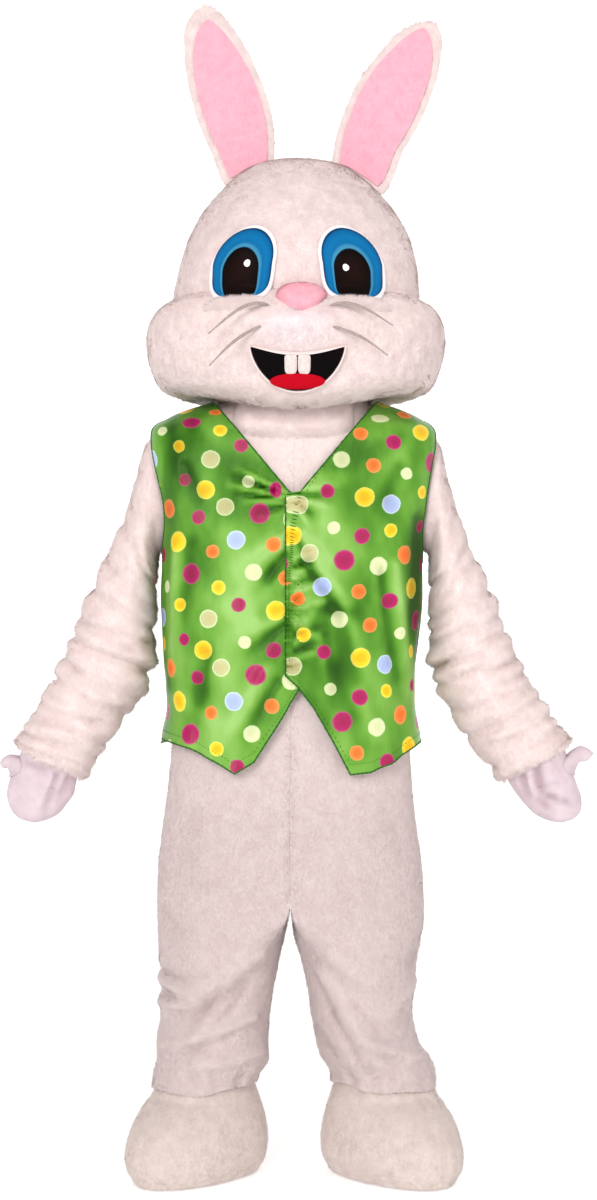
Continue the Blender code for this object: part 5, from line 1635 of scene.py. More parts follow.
@dataclass
class Body:
    """The suit's body: its level rings and its armholes."""

    crotch_height: float = 0.488
    crotch_x: float = -0.008
    fold_top: float = 0.80
    rows: tuple[Level, ...] = table(
        Level,
        (0.488, -0.247, 0.231, -0.13, 0.138, 2.2), (0.56, -0.244, 0.226, -0.136, 0.143, 2.3),
        (0.64, -0.233, 0.214, -0.138, 0.142, 2.5), (0.735, -0.222, 0.206, -0.139, 0.136, 2.6),
        (0.83, -0.216, 0.202, -0.14, 0.131, 2.6), (0.93, -0.222, 0.205, -0.141, 0.128, 2.7),
        (1.02, -0.226, 0.214, -0.141, 0.128, 2.8), (1.11, -0.227, 0.218, -0.14, 0.13, 3.2),
        (1.18, -0.23, 0.227, -0.137, 0.132, 3.8), (1.245, -0.241, 0.238, -0.13, 0.13, 4.0),
        (1.285, -0.245, 0.241, -0.122, 0.126, 4.0), (1.314, -0.24, 0.235, -0.113, 0.119, 3.4),
        (1.336, -0.218, 0.213, -0.104, 0.111, 2.6), (1.352, -0.18, 0.177, -0.096, 0.102, 2.4),
        (1.365, -0.14, 0.14, -0.09, 0.094, 2.2), (1.386, -0.11, 0.112, -0.086, 0.088, 2.0),
    )
    stops: tuple[float, ...] = (0.488, 0.56, 0.64, 0.75, 0.87, 0.99, 1.06, 1.12, 1.135, 1.172, 1.212, 1.254, 1.295,
                                1.31, 1.334, 1.353, 1.367, 1.386)
    hole: tuple[float, float, float] = (1.215, 0.095, 0.31)
    seam: Fold = Fold(-0.008, 0.76, -0.008, 0.47, -0.0042, 0.006)
    folds: tuple[Fold, ...] = table(
        Fold,
        (-0.02, 0.52, -0.11, 0.6, 0.003, 0.02), (0.01, 0.515, 0.105, 0.585, 0.0032, 0.018),
        (-0.016, 0.7, -0.024, 0.56, 0.003, 0.012), (0.004, 0.72, 0.01, 0.56, 0.0026, 0.011),
        (-0.17, 0.66, -0.2, 0.54, -0.003, 0.018), (0.15, 0.67, 0.19, 0.55, -0.0028, 0.017),
        (-0.09, 0.5, -0.2, 0.53, -0.0024, 0.018),
    )

    def __post_init__(self) -> None:
        """Joins the rows."""
        self.form = Rows(self.rows)

    def point(self, angle: float, height: float) -> Layers:
        """A point of the body at a height, and the way into its wall."""
        return level_point(self.form.level(height), angle)

    def creased(self, angle: float, height: float) -> Layers:
        """A point of the body with its folds, and the way into its wall."""
        point, inward = self.point(angle, height)
        return point - inward * self.rise(point, height), inward

    def rise(self, point: Vector, height: float) -> float:
        """How far the folds raise the body at a place."""
        if height > self.fold_top:
            return 0.0
        rise = 1.4 * fold_height(self.folds, point.x if point.y < 0 else -point.x, height)
        return (rise + fold_height((self.seam,), point.x, height)) * ease((height - self.crotch_height) / 0.03)

    def tone(self, angle: float, height: float) -> float:
        """The body's painted fold shade, as on the legs."""
        return plush_fold_shading(self.rise(self.point(angle, height)[0], height))


@dataclass
class Boot:
    """A padded plush boot cover on a flat sole."""

    wardrobe: Wardrobe
    side: Side
    ankle: Vector
    splay: float = math.radians(33.0)
    skirt: float = 0.07
    drop: float = 0.0090
    tuck: float = 0.016
    tuck_height: float = 0.034
    thickness: float = 0.0042
    sole_inset: float = 0.020
    sole_flat: float = 0.85
    rows: tuple[Ring, ...] = table(
        Ring,
        (0.0123, 0.192, 0.108, 0.101), (0.04, 0.2, 0.114, 0.11), (0.075, 0.192, 0.114, 0.109),
        (0.108, 0.166, 0.108, 0.103), (0.138, 0.129, 0.099, 0.093), (0.165, 0.101, 0.09, 0.083),
        (0.196, 0.084, 0.08, 0.075),
    )

    def __post_init__(self) -> None:
        """Joins the rows and finds the ways to the toe and across."""
        self.form = Rows(self.rows)
        self.toe = Vector((self.side.sign * math.sin(self.splay), -math.cos(self.splay), 0.0))
        self.across = Vector((-self.toe.y, self.toe.x, 0.0))

    def ring(self, turn: float, row: float) -> Layers:
        """A point of the boot's ring and the way into its wall; turn 0 is its toe.

        Args:
            turn: the angle round it.
            row: its row.

        Returns:
            The point and the way inward.
        """
        ring = self.form.at(row)
        ahead, aside = math.cos(turn), math.sin(turn)
        length = ring.toe if ahead > 0 else ring.heel
        point = self.ankle + self.toe * length * ahead + self.across * ring.half_width * aside
        point.z = ring.height
        return point, -(self.toe * ahead * ring.half_width + self.across * aside * length).normalized()

    def held(self, point: Vector) -> Layers:
        """The boot's surface in the direction of a point from the ankle, and the way into it.

        Args:
            point: a point beside the boot.

        Returns:
            The boot's point and the way inward.
        """
        row = self.form.row(point.z)
        ring = self.form.at(row)
        away = point - self.ankle
        ahead, aside = away.dot(self.toe), away.x * -self.toe.y + away.y * self.toe.x
        length = ring.toe if ahead > 0 else ring.heel
        return self.ring(math.atan2(aside / ring.half_width, ahead / length), row)

    def upper(self, u: float, v: float) -> Layers:
        """Both sides of the boot's plush.

        Args:
            u: share of the way round.
            v: share of the way up.

        Returns:
            Both points.
        """
        turn, row = TURN * u, self.form.last * max(v - self.skirt, 0.0) / (1 - self.skirt)
        point, inward = self.ring(turn, row)
        point.z -= self.drop * max(self.skirt - v, 0.0) / self.skirt
        under = max(1 - point.z / self.tuck_height, 0.0)
        seam = 0.0030 * math.exp(-((math.sin(turn / 2) / 0.02) ** 2)) * ease(3 - row)
        dent = 0.0016 * noise.noise(point * 16.0)
        crease = 0.0040 * math.exp(-(((row - 3.9 - 0.3 * math.cos(turn)) / 0.22) ** 2)) * max(math.cos(turn), 0.0)
        depth = PILE_DEPTH + seam + dent + crease + self.tuck * (1 - math.sqrt(max(1 - under * under, 0.0)))
        return point + inward * depth, point + inward * (depth + self.thickness)

    def sole(self, u: float, v: float) -> Layers:
        """The sole's underside and its low turned-up edge.

        Args:
            u: share of the way round.
            v: share of the way out.

        Returns:
            Both points.
        """
        point, inward = self.ring(TURN * u, 0.0)
        turned = max((v - self.sole_flat) / 0.15, 0.0)
        edge = point + inward * (self.sole_inset - 0.002 * turned)
        middle = Vector((self.ankle.x, self.ankle.y, 0.0)) + self.toe * 0.03
        edge.z, middle.z = 0.0003 + 0.0105 * turned, 0.0003
        place = middle.lerp(edge, min(v / self.sole_flat, 1.0))
        return place, place + Vector((0.0, 0.0, 0.0022)) + inward * 0.0016 * v

    def build(self) -> None:
        """Makes the boot, its pile and its sole."""
        name = self.side.value
        boot = Workroom.wall(f"boot_plush_{name}", [Patch(self.upper, 80, 44)], self.wardrobe["boot"], [f"boot_{name}"])
        fur = Pile(length=0.0070, per_square_metre=170000.0, seed=51 + self.side.sign)
        fur.grow(f"boot_pile_{name}", boot, self.wardrobe["boot_pile"])
        Workroom.wall(f"sole_rubber_{name}", [Patch(self.sole, 48, 8)], self.wardrobe["rubber"], [f"sole_{name}"],
                      "sole_rubber")


@dataclass
class SuitHalf:
    """The front and back panel of one half of the suit, from its shoulder seam to its leg's hem."""

    wardrobe: Wardrobe
    side: Side
    body: Body
    boot: Boot
    rows: tuple[Cross, ...]
    folds: tuple[Fold, ...]
    back_folds: tuple[Fold, ...]
    arc: float = 0.72 * math.pi
    blend: float = 2.2
    gather: float = 1.6
    waves: int = 13
    wave: float = 0.0062
    clear: float = COAT + 0.0041
    skin: float = PILE_DEPTH - 0.0008

    def __post_init__(self) -> None:
        """Joins the rows."""
        self.form = Rows(self.rows)
        self.stops = (0.0, 0.5, 1.0, 1.6, 2.3, 3.0, 3.6, 4.2, 4.8, 5.5, 6.2, float(self.form.last))

    def seat(self, turn: float) -> Vector:
        """The body's lower edge on this leg's side, closed by a straight run along the crotch.

        Args:
            turn: the angle from the leg's outside to the back.

        Returns:
            A point of the edge.
        """
        turn = (turn + math.pi) % TURN - math.pi
        level = self.body.rows[0]
        if abs(turn) <= self.arc + 1e-6:
            seam = 0.0 if self.side is Side.RIGHT else math.pi
            return level_point(level, seam + self.side.sign * math.pi / 2 * turn / self.arc)[0]
        depth = level.back if turn > 0 else level.front
        return Vector((self.body.crotch_x, depth * (math.pi - abs(turn)) / (math.pi - self.arc), level.height))

    def fold(self, x: float, y: float, height: float, row: float) -> float:
        """How far the folds raise the leg at a place."""
        front = ease((0.035 - y) / 0.07)
        rise = front * fold_height(self.folds, x, height) + (1 - front) * fold_height(self.back_folds, x, height)
        return 1.45 * rise * ease(row / 0.8)

    def tone(self, turn: float, row: float) -> float:
        """The leg's painted fold shade."""
        point, _ = cross_point(self.form.at(row), turn)
        return plush_fold_shading(self.fold(point.x, point.y, point.z, row))

    def leg(self, turn: float, row: float) -> Layers:
        """Outer and inner point of the leg.

        Args:
            turn: the angle from its outside to the back.
            row: its row.

        Returns:
            Both points.
        """
        point, inward = cross_point(self.form.at(row), turn)
        height = point.z
        if row < self.blend:
            point = self.seat(turn).lerp(point, ease(row / self.blend))
        rise = self.fold(point.x, point.y, height, row)
        rise += 0.0022 * noise.noise(Vector((point.x * 9.0, point.y * 9.0, height * 7.0))) * ease(row / 0.8)
        hem = ease((row - (self.form.last - self.gather)) / self.gather)
        point -= inward * rise * (1 - hem)
        if hem > 0:
            point.z = height
            foot, into = self.boot.held(point)
            point -= into * max(self.clear - (foot - point).dot(into), 0.0)
            beat = math.cos(self.waves * turn + 0.8 * math.sin(2 * turn)) * (0.65 + 0.35 * math.sin(3 * turn + 1.0))
            swell = self.wave * (0.5 + 0.5 * beat) * math.sin(math.pi * min(hem, 1.0)) + 0.0022 * beat * hem
            point = point.lerp(foot - into * (self.clear + 0.0020), hem) - inward * swell
            inward = inward.lerp(into, hem).normalized()
        point.z = height + hem * (0.0040 * math.sin(2 * turn + 0.6) + 0.0026 * math.sin(5 * turn + self.side.sign))
        skin = point + inward * self.skin
        return skin, skin + inward * BACKING

    def build(self) -> None:
        """Makes both panels and their pile."""
        for face in Face:
            self._panel(face)

    def _panel(self, face: Face) -> None:
        """Makes one panel.

        Args:
            face: the front or the back.
        """
        side, name = self.side, f"{face.value}_{self.side.value}"

        def place(u: float, v: float) -> Place:
            """The angle and height of a place on the body."""
            height = among(self.body.stops, v)
            edge = hole_edge(height, *self.body.hole)
            swing = face.sign * (edge + (math.pi / 2 - edge) * u)
            return swing if side is Side.RIGHT else math.pi - swing, height

        def torso(u: float, v: float) -> Layers:
            """The panel's part on the body."""
            point, inward = self.body.creased(*place(u, v))
            skin = point + inward * self.skin
            return skin, skin + inward * BACKING

        def outer(u: float, v: float) -> Place:
            """The angle and row of a place of the leg's outer part."""
            return face.sign * self.arc * u, among(self.stops, v)

        def inner(u: float, v: float) -> Place:
            """The angle and row of a place of the leg's inner part, below the crotch."""
            return face.sign * (self.arc + (math.pi - self.arc) * u), among(self.stops, v)

        panel = Workroom.wall(f"suit_plush_{name}", [
            Patch(torso, 34, 34, None, lambda u, v: self.body.tone(*place(u, v))),
            Patch(lambda u, v: torso(u, 0.0) if v < 1e-6 else self.leg(*outer(u, v)), 34, 77, None,
                  lambda u, v: self.tone(*outer(u, v))),
            Patch(lambda u, v: self.leg(*inner(u, v)), 14, 77, None, lambda u, v: self.tone(*inner(u, v))),
        ], self.wardrobe["suit"], [f"suit_{name}"], shift=(side.sign * HALF_SEAM, face.sign * HALF_SEAM, 0.0))

        def shown(points: Array, normals: Array) -> Array:
            """No pile under the vest."""
            z, across, front = points[:, 2] + SHOULDER_HEIGHT, np.abs(points[:, 0]), points[:, 1] < 0
            middle = (z < 0.92) & (across < 0.075) & front
            collar = (z > 1.19) & front & (across < 0.02 + 0.86 * (z - 1.19))
            kept = np.where(middle | collar, 1.0, np.where(z < 0.80, 1.0, 0.0))
            return kept * np.where((z > 0.74) & (points[:, 1] > 0), 0.25, 1.0)

        fur = Pile(length=0.0072, per_square_metre=172000.0, back_share=0.5, seed=61 + face.sign + 4 * side.sign)
        pile = fur.grow(f"suit_pile_{name}", panel, self.wardrobe["suit_pile"], where=shown)


@dataclass
class Sleeve:
    """One sleeve, pushed into rolls down to a gathered cuff."""

    wardrobe: Wardrobe
    side: Side
    body: Body
    rows: tuple[Cross, ...]
    rolls: tuple[Roll, ...]
    puff: float = 0.0062
    ruffles: int = 15
    cuff_row: float = 11.2

    def __post_init__(self) -> None:
        """Joins the rows."""
        self.form = Rows(self.rows)

    def root(self, turn: float) -> Vector:
        """The armhole's edge on the suit, a little larger.

        Args:
            turn: the angle from the shoulder to the back.

        Returns:
            A point of the edge.
        """
        mid, half, angle = self.body.hole
        swing = angle * 1.05 * math.sin(turn)
        height = mid + half * 1.03 * math.cos(turn)
        point, _ = self.body.point(swing if self.side is Side.RIGHT else math.pi - swing, height)
        return point + Vector((self.side.sign * 0.0024, 0.0, 0.0))

    def rise(self, turn: float, row: float) -> float:
        """How far the rolls stand out.

        Args:
            turn: the angle round the sleeve.
            row: its row.

        Returns:
            The height over the plain sleeve.
        """
        ending = ease((self.cuff_row - row) / 0.8)
        height = self.puff * ease((row - 1.4) / 1.6) * ending * (0.8 + 0.2 * math.cos(turn))
        for roll in self.rolls:
            at = roll.row + roll.drift * math.sin(turn + roll.facing) + 0.06 * math.sin(3 * turn + 9 * roll.row)
            away = abs(row - at) / roll.width
            if away < 3.0:
                apart = abs((turn - roll.facing + math.pi) % TURN - math.pi)
                height -= 0.70 * roll.depth * (1 - ease((apart - roll.reach) / 0.7)) * math.exp(-(away**1.5))
        ruck = Vector((1.3 * math.cos(turn), 1.3 * math.sin(turn) + row * 0.5, row * 3.2))
        return height + 0.0052 * noise.noise(ruck) * ease((row - 1.5) / 1.2) * ending

    def layers(self, turn: float, row: float) -> Layers:
        """Outer and inner point of the sleeve.

        Args:
            turn: the angle from the shoulder to the back.
            row: its row.

        Returns:
            Both points.
        """
        last = self.form.last
        point, inward = cross_point(self.form.at(row), turn)
        if row < 1.0:
            point = self.root(turn).lerp(point, ease(row))
        if 1.0 < row < self.cuff_row:
            point -= inward * self.rise(turn, row)
        cuff = ease((row - (last - 1.1)) / 1.1)
        beat = math.sin(self.ruffles * turn + math.sin(2 * turn)) * (0.6 + 0.4 * math.sin(2 * turn + 2.0))
        point -= inward * (0.0030 * beat * cuff + 0.0040 * math.sin(math.pi * cuff))
        if row > last - 0.12:
            point -= inward * 0.0016
        skin = point + inward * (PILE_DEPTH - 0.0010)
        return skin, skin + inward * BACKING

    def tone(self, turn: float, row: float) -> float:
        """Painted shade of the plush, 0 in the deepest trough and 1 on the highest ridge."""
        plain = self.puff * 0.7
        rise = self.rise(turn, row) if 1.0 < row < self.cuff_row else plain
        return clamp(0.74 + (rise - plain) / 0.027)

    def build(self) -> None:
        """Makes the sleeve and its pile."""
        name, last = self.side.value, float(self.form.last)
        tube = Patch(lambda u, v: self.layers(TURN * u, last * v), 72, 118, None,
                     lambda u, v: self.tone(TURN * u, last * v))
        sleeve = Workroom.wall(f"sleeve_plush_{name}", [tube], self.wardrobe["sleeve"],
                               [f"sleeve_front_{name}", f"sleeve_back_{name}"])
        fur = Pile(length=0.0088, per_square_metre=215000.0, back_share=0.5, lean=1.08, seed=71 + self.side.sign)
        pile = fur.grow(f"sleeve_pile_{name}", sleeve, self.wardrobe["sleeve_pile"])
        before, end = (Vector(((ring.outer_x + ring.inner_x) / 2, ring.mid_y,
                               (ring.outer_z + ring.inner_z) / 2 - SHOULDER_HEIGHT))
                       for ring in (self.rows[-3], self.rows[-1]))
        axis = (end - before).normalized()

        def cuff(points: Array, normals: Array) -> Array:
            """Only the cuff's edge."""
            near = (points - np.array(end)) @ np.array(axis) > -0.016
            return np.where(near & (normals @ np.array(axis) < 0.35), 1.0, 0.0)

        tufts = Pile(length=0.0150, width=0.0016, lean=1.12, swirl=0.6, per_square_metre=430000.0, back_share=0.8,
                     nap=tuple(axis), seed=81 + self.side.sign)
        fringe = tufts.grow(f"cuff_pile_{name}", sleeve, self.wardrobe["sleeve_pile"], where=cuff)


@dataclass
class Mitten:
    """One mitten with a thumb over an opening in its outer seam."""

    wardrobe: Wardrobe
    side: Side
    rows: tuple[Cross, ...]
    thumb_rows: tuple[Cross, ...]
    creases: tuple[Fold, ...]
    hole: tuple[float, float, float] = (2.15, 0.62, 0.72)
    stops: tuple[float, ...] = (0.0, 0.9, 1.53, 1.8, 2.5, 2.77, 3.6, 4.6, 5.5, 6.4, 7.0)
    seam_steps: int = 48
    seam_radius: float = 0.0019

    def __post_init__(self) -> None:
        """Joins the rows."""
        self.form = Rows(self.rows)
        self.thumb_form = Rows(self.thumb_rows)

    def ring(self, turn: float, row: float) -> Layers:
        """A point of the mitten and the way into its wall.

        Args:
            turn: the angle from its outer edge to the back.
            row: its row.

        Returns:
            The point and the way inward.
        """
        point, inward = cross_point(self.form.at(row), turn)
        if not inward.length:
            return point, Vector((0.0, 0.0, 1.0))
        x = point.x if point.y < self.form.at(row).mid_y else point.x + 0.004
        point -= inward * 1.9 * fold_height(self.creases, x, point.z)
        return point, inward

    def thumb(self, u: float, v: float) -> Layers:
        """The thumb, spread at its root over the opening.

        Args:
            u: share of the way round.
            v: share of the way to its tip.

        Returns:
            Both points.
        """
        turn, row = TURN * u, self.thumb_form.last * v
        point, inward = cross_point(self.thumb_form.at(row), turn)
        if row < 1.0:
            mid, reach, angle = self.hole
            seat, into = self.ring(angle * math.sin(turn), mid - reach * math.cos(turn))
            point = (seat - into * 0.0020).lerp(point, ease(row))
        if not inward.length:
            inward = Vector((-self.side.sign, 0.0, 0.0))
        return point, point + inward * COAT * 0.8

    def build(self) -> None:
        """Makes the mitten and its thumb."""
        name, fleece = self.side.value, self.wardrobe["mitten"]
        for face in Face:
            self._half(face)
        made = Workroom.wall(f"mitten_thumb_fleece_{name}", [Patch(self.thumb, 32, 24)], fleece,
                             [f"mitten_thumb_{name}"], "mitten_cloth")
        count = self.seam_steps + 1
        line = [sum(self.thumb(step / self.seam_steps, 0.0), Vector()) / 2 for step in range(count)]
        cord = Workroom.strands(f"mitten_thumb_seam_{name}", [(line, [self.seam_radius] * count)], 8, fleece,
                                "mitten_cloth")

    def _half(self, face: Face) -> None:
        """Makes one half of the mitten.

        Args:
            face: the front or the back.
        """
        def place(u: float, v: float) -> Place:
            """The angle and row of a place."""
            row = among(self.stops, v)
            edge = hole_edge(row, *self.hole)
            return face.sign * (edge + (math.pi - edge) * u), row

        def half(u: float, v: float) -> Layers:
            """Both sides of the fleece."""
            point, inward = self.ring(*place(u, v))
            return point, point + inward * COAT

        def tone(u: float, v: float) -> float:
            """Painted shade and highlight of the fleece, 0 in the deepest crease and 1 on the highest ridge."""
            point, _ = self.ring(*place(u, v))
            return clamp(0.66 + fold_height(self.creases, point.x, point.z) / 0.0060)

        name = f"{face.value}_{self.side.value}"
        made = Workroom.wall(f"mitten_fleece_{name}", [Patch(half, 42, 58, None, tone)], self.wardrobe["creased"],
                             [f"mitten_{name}"], "mitten_cloth", (0.0, face.sign * HALF_SEAM, 0.0))


@dataclass
class Neck:
    """The soft neck from the head's opening down on to the suit, inside the vest's neckline."""

    wardrobe: Wardrobe
    head: Head
    body: Body
    side_height: float = 1.368
    front_drop: float = 0.068
    back_drop: float = 0.020
    puff: float = 0.004
    clear: float = COAT + 0.0004

    def cloth(self, u: float, v: float) -> Layers:
        """Both sides of the neck.

        Args:
            u: share of the way round.
            v: share of the way down.

        Returns:
            Both points.
        """
        swing = TURN * u
        top, _ = level_point(self.head.rows[0], swing)
        top.z -= 0.0009
        front = math.sin(swing) < 0
        middle = abs(math.sin(swing)) ** 9
        low, inward = self.body.point(swing, self.side_height - (self.front_drop if front else self.back_drop) * middle)
        low -= inward * self.clear
        low.z += self.clear * (1 - middle)
        rise = self.puff * math.sin(math.pi * v)
        if front:
            rise += 0.0035 * math.exp(-(((v - 0.62 - 0.10 * math.cos(swing)) / 0.14) ** 2)) * middle
        tuck = 0.0044 * ease((v - 0.78) / 0.22)
        skin = top.lerp(low, v) - inward * (rise - tuck) + inward * 0.0010
        return skin, skin + inward * BACKING

    def build(self) -> None:
        """Makes the neck and its pile."""
        neck = Workroom.wall("neck_plush", [Patch(self.cloth, 96, 18)], self.wardrobe["white"],
                             ["neck_front", "neck_back"])
        fur = Pile(length=0.0080, per_square_metre=330000.0, back_share=0.4, seed=91)
        pile = fur.grow("neck_pile", neck, self.wardrobe["white_pile"])


# ---------------------------------------------------------------- vest
@dataclass
class Vest:
    """The sleeveless satin vest: two pointed fronts, the right one lapped over the left, and a back."""

    wardrobe: Wardrobe
    satin: float = 0.0013
    lap: float = 0.0042
    opening_height: float = 1.204
    neck_slope: float = 0.83
    neck_x: float = 0.008
    hole: tuple[float, float, float] = (1.218, 0.119, 0.39)
    back_hem: float = 0.766
    nape_start: float = 1.290
    nape_dip: float = 0.40
    lower_rows: int = 7
    right_print: Place = (0.137, 0.081)
    arm_edge: tuple[float, float] = (0.42, 0.58)
    edge_radius: float = 0.00145
    stitch: float = 0.0004
    measured: tuple[int, int] = (64, 361)
    rows: tuple[Level, ...] = table(
        Level,
        (0.7, -0.238, 0.223, -0.164, 0.154, 2.6), (0.778, -0.236, 0.219, -0.161, 0.15, 2.6),
        (0.83, -0.227, 0.213, -0.157, 0.144, 2.6), (0.88, -0.229, 0.212, -0.155, 0.14, 2.6),
        (0.95, -0.234, 0.219, -0.153, 0.138, 2.7), (1.02, -0.237, 0.226, -0.152, 0.138, 2.8),
        (1.11, -0.236, 0.227, -0.15, 0.139, 3.2), (1.18, -0.239, 0.236, -0.146, 0.141, 3.8),
        (1.25, -0.252, 0.248, -0.139, 0.139, 4.0), (1.292, -0.256, 0.252, -0.13, 0.135, 4.0),
        (1.322, -0.251, 0.246, -0.12, 0.127, 3.4), (1.3428, -0.224, 0.219, -0.108, 0.1155, 2.6),
        (1.3584, -0.186, 0.183, -0.1003, 0.1063, 2.4), (1.3712, -0.147, 0.147, -0.0943, 0.0983, 2.2),
        (1.393, -0.117, 0.119, -0.092, 0.094, 2.0),
    )
    stops: tuple[float, ...] = (1.099, 1.122, 1.162, 1.204, 1.25, 1.29, 1.316, 1.337, 1.355, 1.372)
    left_hem: tuple[Hem, ...] = table(
        Hem,
        (-0.238, 0.776), (-0.23, 0.775), (-0.212, 0.771), (-0.18, 0.764), (-0.14, 0.744), (-0.102, 0.722),
        (-0.07, 0.742), (-0.036, 0.796), (-0.014, 0.832), (0.006, 0.866),
    )
    right_hem: tuple[Hem, ...] = table(
        Hem,
        (0.223, 0.774), (0.213, 0.769), (0.195, 0.757), (0.165, 0.738), (0.128, 0.724), (0.094, 0.72), (0.066, 0.776),
        (0.034, 0.834), (0.007, 0.87), (-0.016, 0.89),
    )
    folds: tuple[Fold, ...] = table(
        Fold,
        (-0.014, 1.203, -0.098, 1.246, 0.005, 0.0056), (-0.014, 1.2, -0.104, 1.232, -0.0044, 0.0044),
        (-0.016, 1.197, -0.112, 1.217, 0.0052, 0.0054), (-0.015, 1.193, -0.1, 1.203, -0.0042, 0.0044),
        (-0.014, 1.189, -0.084, 1.19, 0.004, 0.0052), (-0.012, 1.184, -0.064, 1.17, -0.004, 0.0056),
        (-0.002, 1.207, 0.07, 1.217, 0.0044, 0.0062), (-0.002, 1.201, 0.058, 1.199, -0.0042, 0.0046),
        (-0.002, 1.195, 0.06, 1.18, 0.0046, 0.0056), (-0.002, 1.19, 0.04, 1.16, -0.0044, 0.0052),
        (0.0, 1.184, 0.024, 1.146, 0.004, 0.0052), (0.02, 1.222, 0.11, 1.236, 0.0026, 0.015),
        (-0.018, 1.098, -0.062, 1.04, -0.0062, 0.012), (-0.034, 1.12, -0.095, 1.066, 0.004, 0.015),
        (-0.01, 1.15, -0.03, 1.09, 0.0036, 0.011), (0.002, 1.13, 0.04, 1.06, -0.0044, 0.0085),
        (0.014, 1.13, 0.066, 1.072, 0.0046, 0.0145), (-0.004, 1.06, 0.03, 1.01, 0.0042, 0.01),
        (0.03, 1.01, 0.105, 1.0, -0.0046, 0.011), (0.0, 0.99, 0.06, 1.022, 0.0044, 0.0095),
        (0.002, 0.984, 0.06, 0.94, 0.0034, 0.01), (0.01, 1.088, 0.078, 0.998, -0.0046, 0.0085),
        (0.026, 1.096, 0.096, 1.01, 0.0044, 0.01), (0.052, 0.96, 0.074, 0.8, -0.0036, 0.011),
        (0.085, 1.01, 0.142, 0.85, 0.0044, 0.015), (0.15, 1.07, 0.178, 0.86, -0.004, 0.011),
        (0.172, 1.08, 0.2, 0.86, 0.004, 0.013), (0.052, 0.93, 0.082, 0.77, 0.004, 0.014),
        (0.11, 0.86, 0.15, 0.76, 0.0034, 0.015), (-0.024, 0.986, -0.1, 0.96, 0.0036, 0.012),
        (-0.02, 0.978, -0.078, 0.93, -0.004, 0.011), (-0.07, 0.98, -0.17, 1.03, 0.0026, 0.02),
        (-0.05, 0.9, -0.12, 0.78, 0.004, 0.015), (-0.03, 0.88, -0.085, 0.79, -0.0036, 0.012),
        (-0.15, 0.93, -0.176, 0.79, -0.0034, 0.016), (-0.178, 1.12, -0.204, 0.99, -0.0026, 0.016),
        (-0.204, 1.12, -0.212, 0.9, 0.004, 0.012), (-0.19, 1.25, -0.16, 1.18, -0.0034, 0.015),
        (0.18, 1.25, 0.15, 1.18, -0.0034, 0.015), (-0.2, 0.85, -0.12, 0.8, 0.0024, 0.016),
        (-0.216, 1.32, -0.222, 1.08, -0.003, 0.02), (0.214, 1.16, 0.206, 0.9, -0.0032, 0.016),
        (-0.1, 1.13, -0.066, 0.985, 0.0034, 0.04), (0.066, 1.16, 0.12, 1.07, 0.0028, 0.032),
        (0.07, 0.9, 0.1, 0.77, -0.003, 0.026), (-0.13, 0.9, -0.06, 0.8, 0.0026, 0.034),
        (-0.175, 1.315, -0.09, 1.235, -0.002, 0.02), (0.18, 1.3, 0.12, 1.25, -0.0018, 0.02),
    )
    back_folds: tuple[Fold, ...] = table(
        Fold,
        (-0.12, 1.24, 0.01, 1.18, 0.0036, 0.02), (0.12, 1.235, 0.0, 1.15, 0.0034, 0.019),
        (-0.09, 1.08, -0.11, 0.86, -0.005, 0.017), (-0.03, 1.02, -0.04, 0.8, 0.0046, 0.02),
        (0.05, 1.06, 0.07, 0.82, -0.0044, 0.016), (0.12, 1.1, 0.135, 0.86, 0.0048, 0.021),
        (-0.16, 0.98, -0.17, 0.8, 0.004, 0.016), (0.18, 0.96, 0.178, 0.8, -0.0036, 0.015),
        (-0.18, 1.19, -0.06, 1.12, -0.003, 0.016),
    )

    def __post_init__(self) -> None:
        """Joins the rows, adds the gathers beside the lapped edge and measures the cloth round and up the body."""
        self.folds += tuple(
            Fold(0.0, 1.092 - 0.0145 * step, 0.036 + 0.014 * math.sin(2.3 * step), 1.104 - 0.0142 * step,
                 0.0036 * (-1) ** step, 0.0050)
            for step in range(13)
        )
        self.form = Rows(self.rows)
        high, wide = self.measured
        self._turns, self._heights = np.linspace(0.0, TURN, wide), np.linspace(0.70, 1.393, high)
        rings = np.array([[self.plain(turn, height)[0] for turn in self._turns] for height in self._heights])
        round_body = np.cumsum(np.linalg.norm(np.diff(rings, axis=1, prepend=rings[:, :1]), axis=2), axis=1)
        self._round = {Face.BACK: round_body - round_body[:, 90:91], Face.FRONT: round_body - round_body[:, 270:271]}
        self._climb = np.cumsum(np.linalg.norm(np.diff(rings[:, 234], axis=0, prepend=rings[:1, 234]), axis=1))

    def plain(self, angle: float, height: float) -> Layers:
        """A point of the vest without its folds, and the way into it."""
        return level_point(self.form.level(height), angle)

    def cloth(self, angle: float, height: float) -> Place:
        """A place of the vest in metres of cloth from its centre line."""
        rows = self._round[Face.FRONT if angle > math.pi else Face.BACK]
        part = float(np.interp(height, self._heights, np.arange(len(rows))))
        low = min(int(part), len(rows) - 2)
        near, far = (float(np.interp(angle, self._turns, rows[row])) for row in (low, low + 1))
        return near + (far - near) * (part - low), float(np.interp(height, self._heights, self._climb))

    def lift(self, point: Vector) -> float:
        """How far the folds raise the satin at a place."""
        folds = self.folds if point.y < 0 else self.back_folds
        lift = 1.3 * fold_height(folds, point.x, point.z)
        lift += 0.0034 * noise.noise(Vector((point.x * 13.0, point.y * 13.0, point.z * 6.0)))
        return max(lift, -0.0064)

    def tone(self, angle: float, height: float) -> float:
        """Painted shade and sheen of the satin there, 0 in the deepest trough and 1 on the highest ridge."""
        return clamp(0.52 + 0.42 * self.lift(self.plain(angle, height)[0]) / 0.0064)

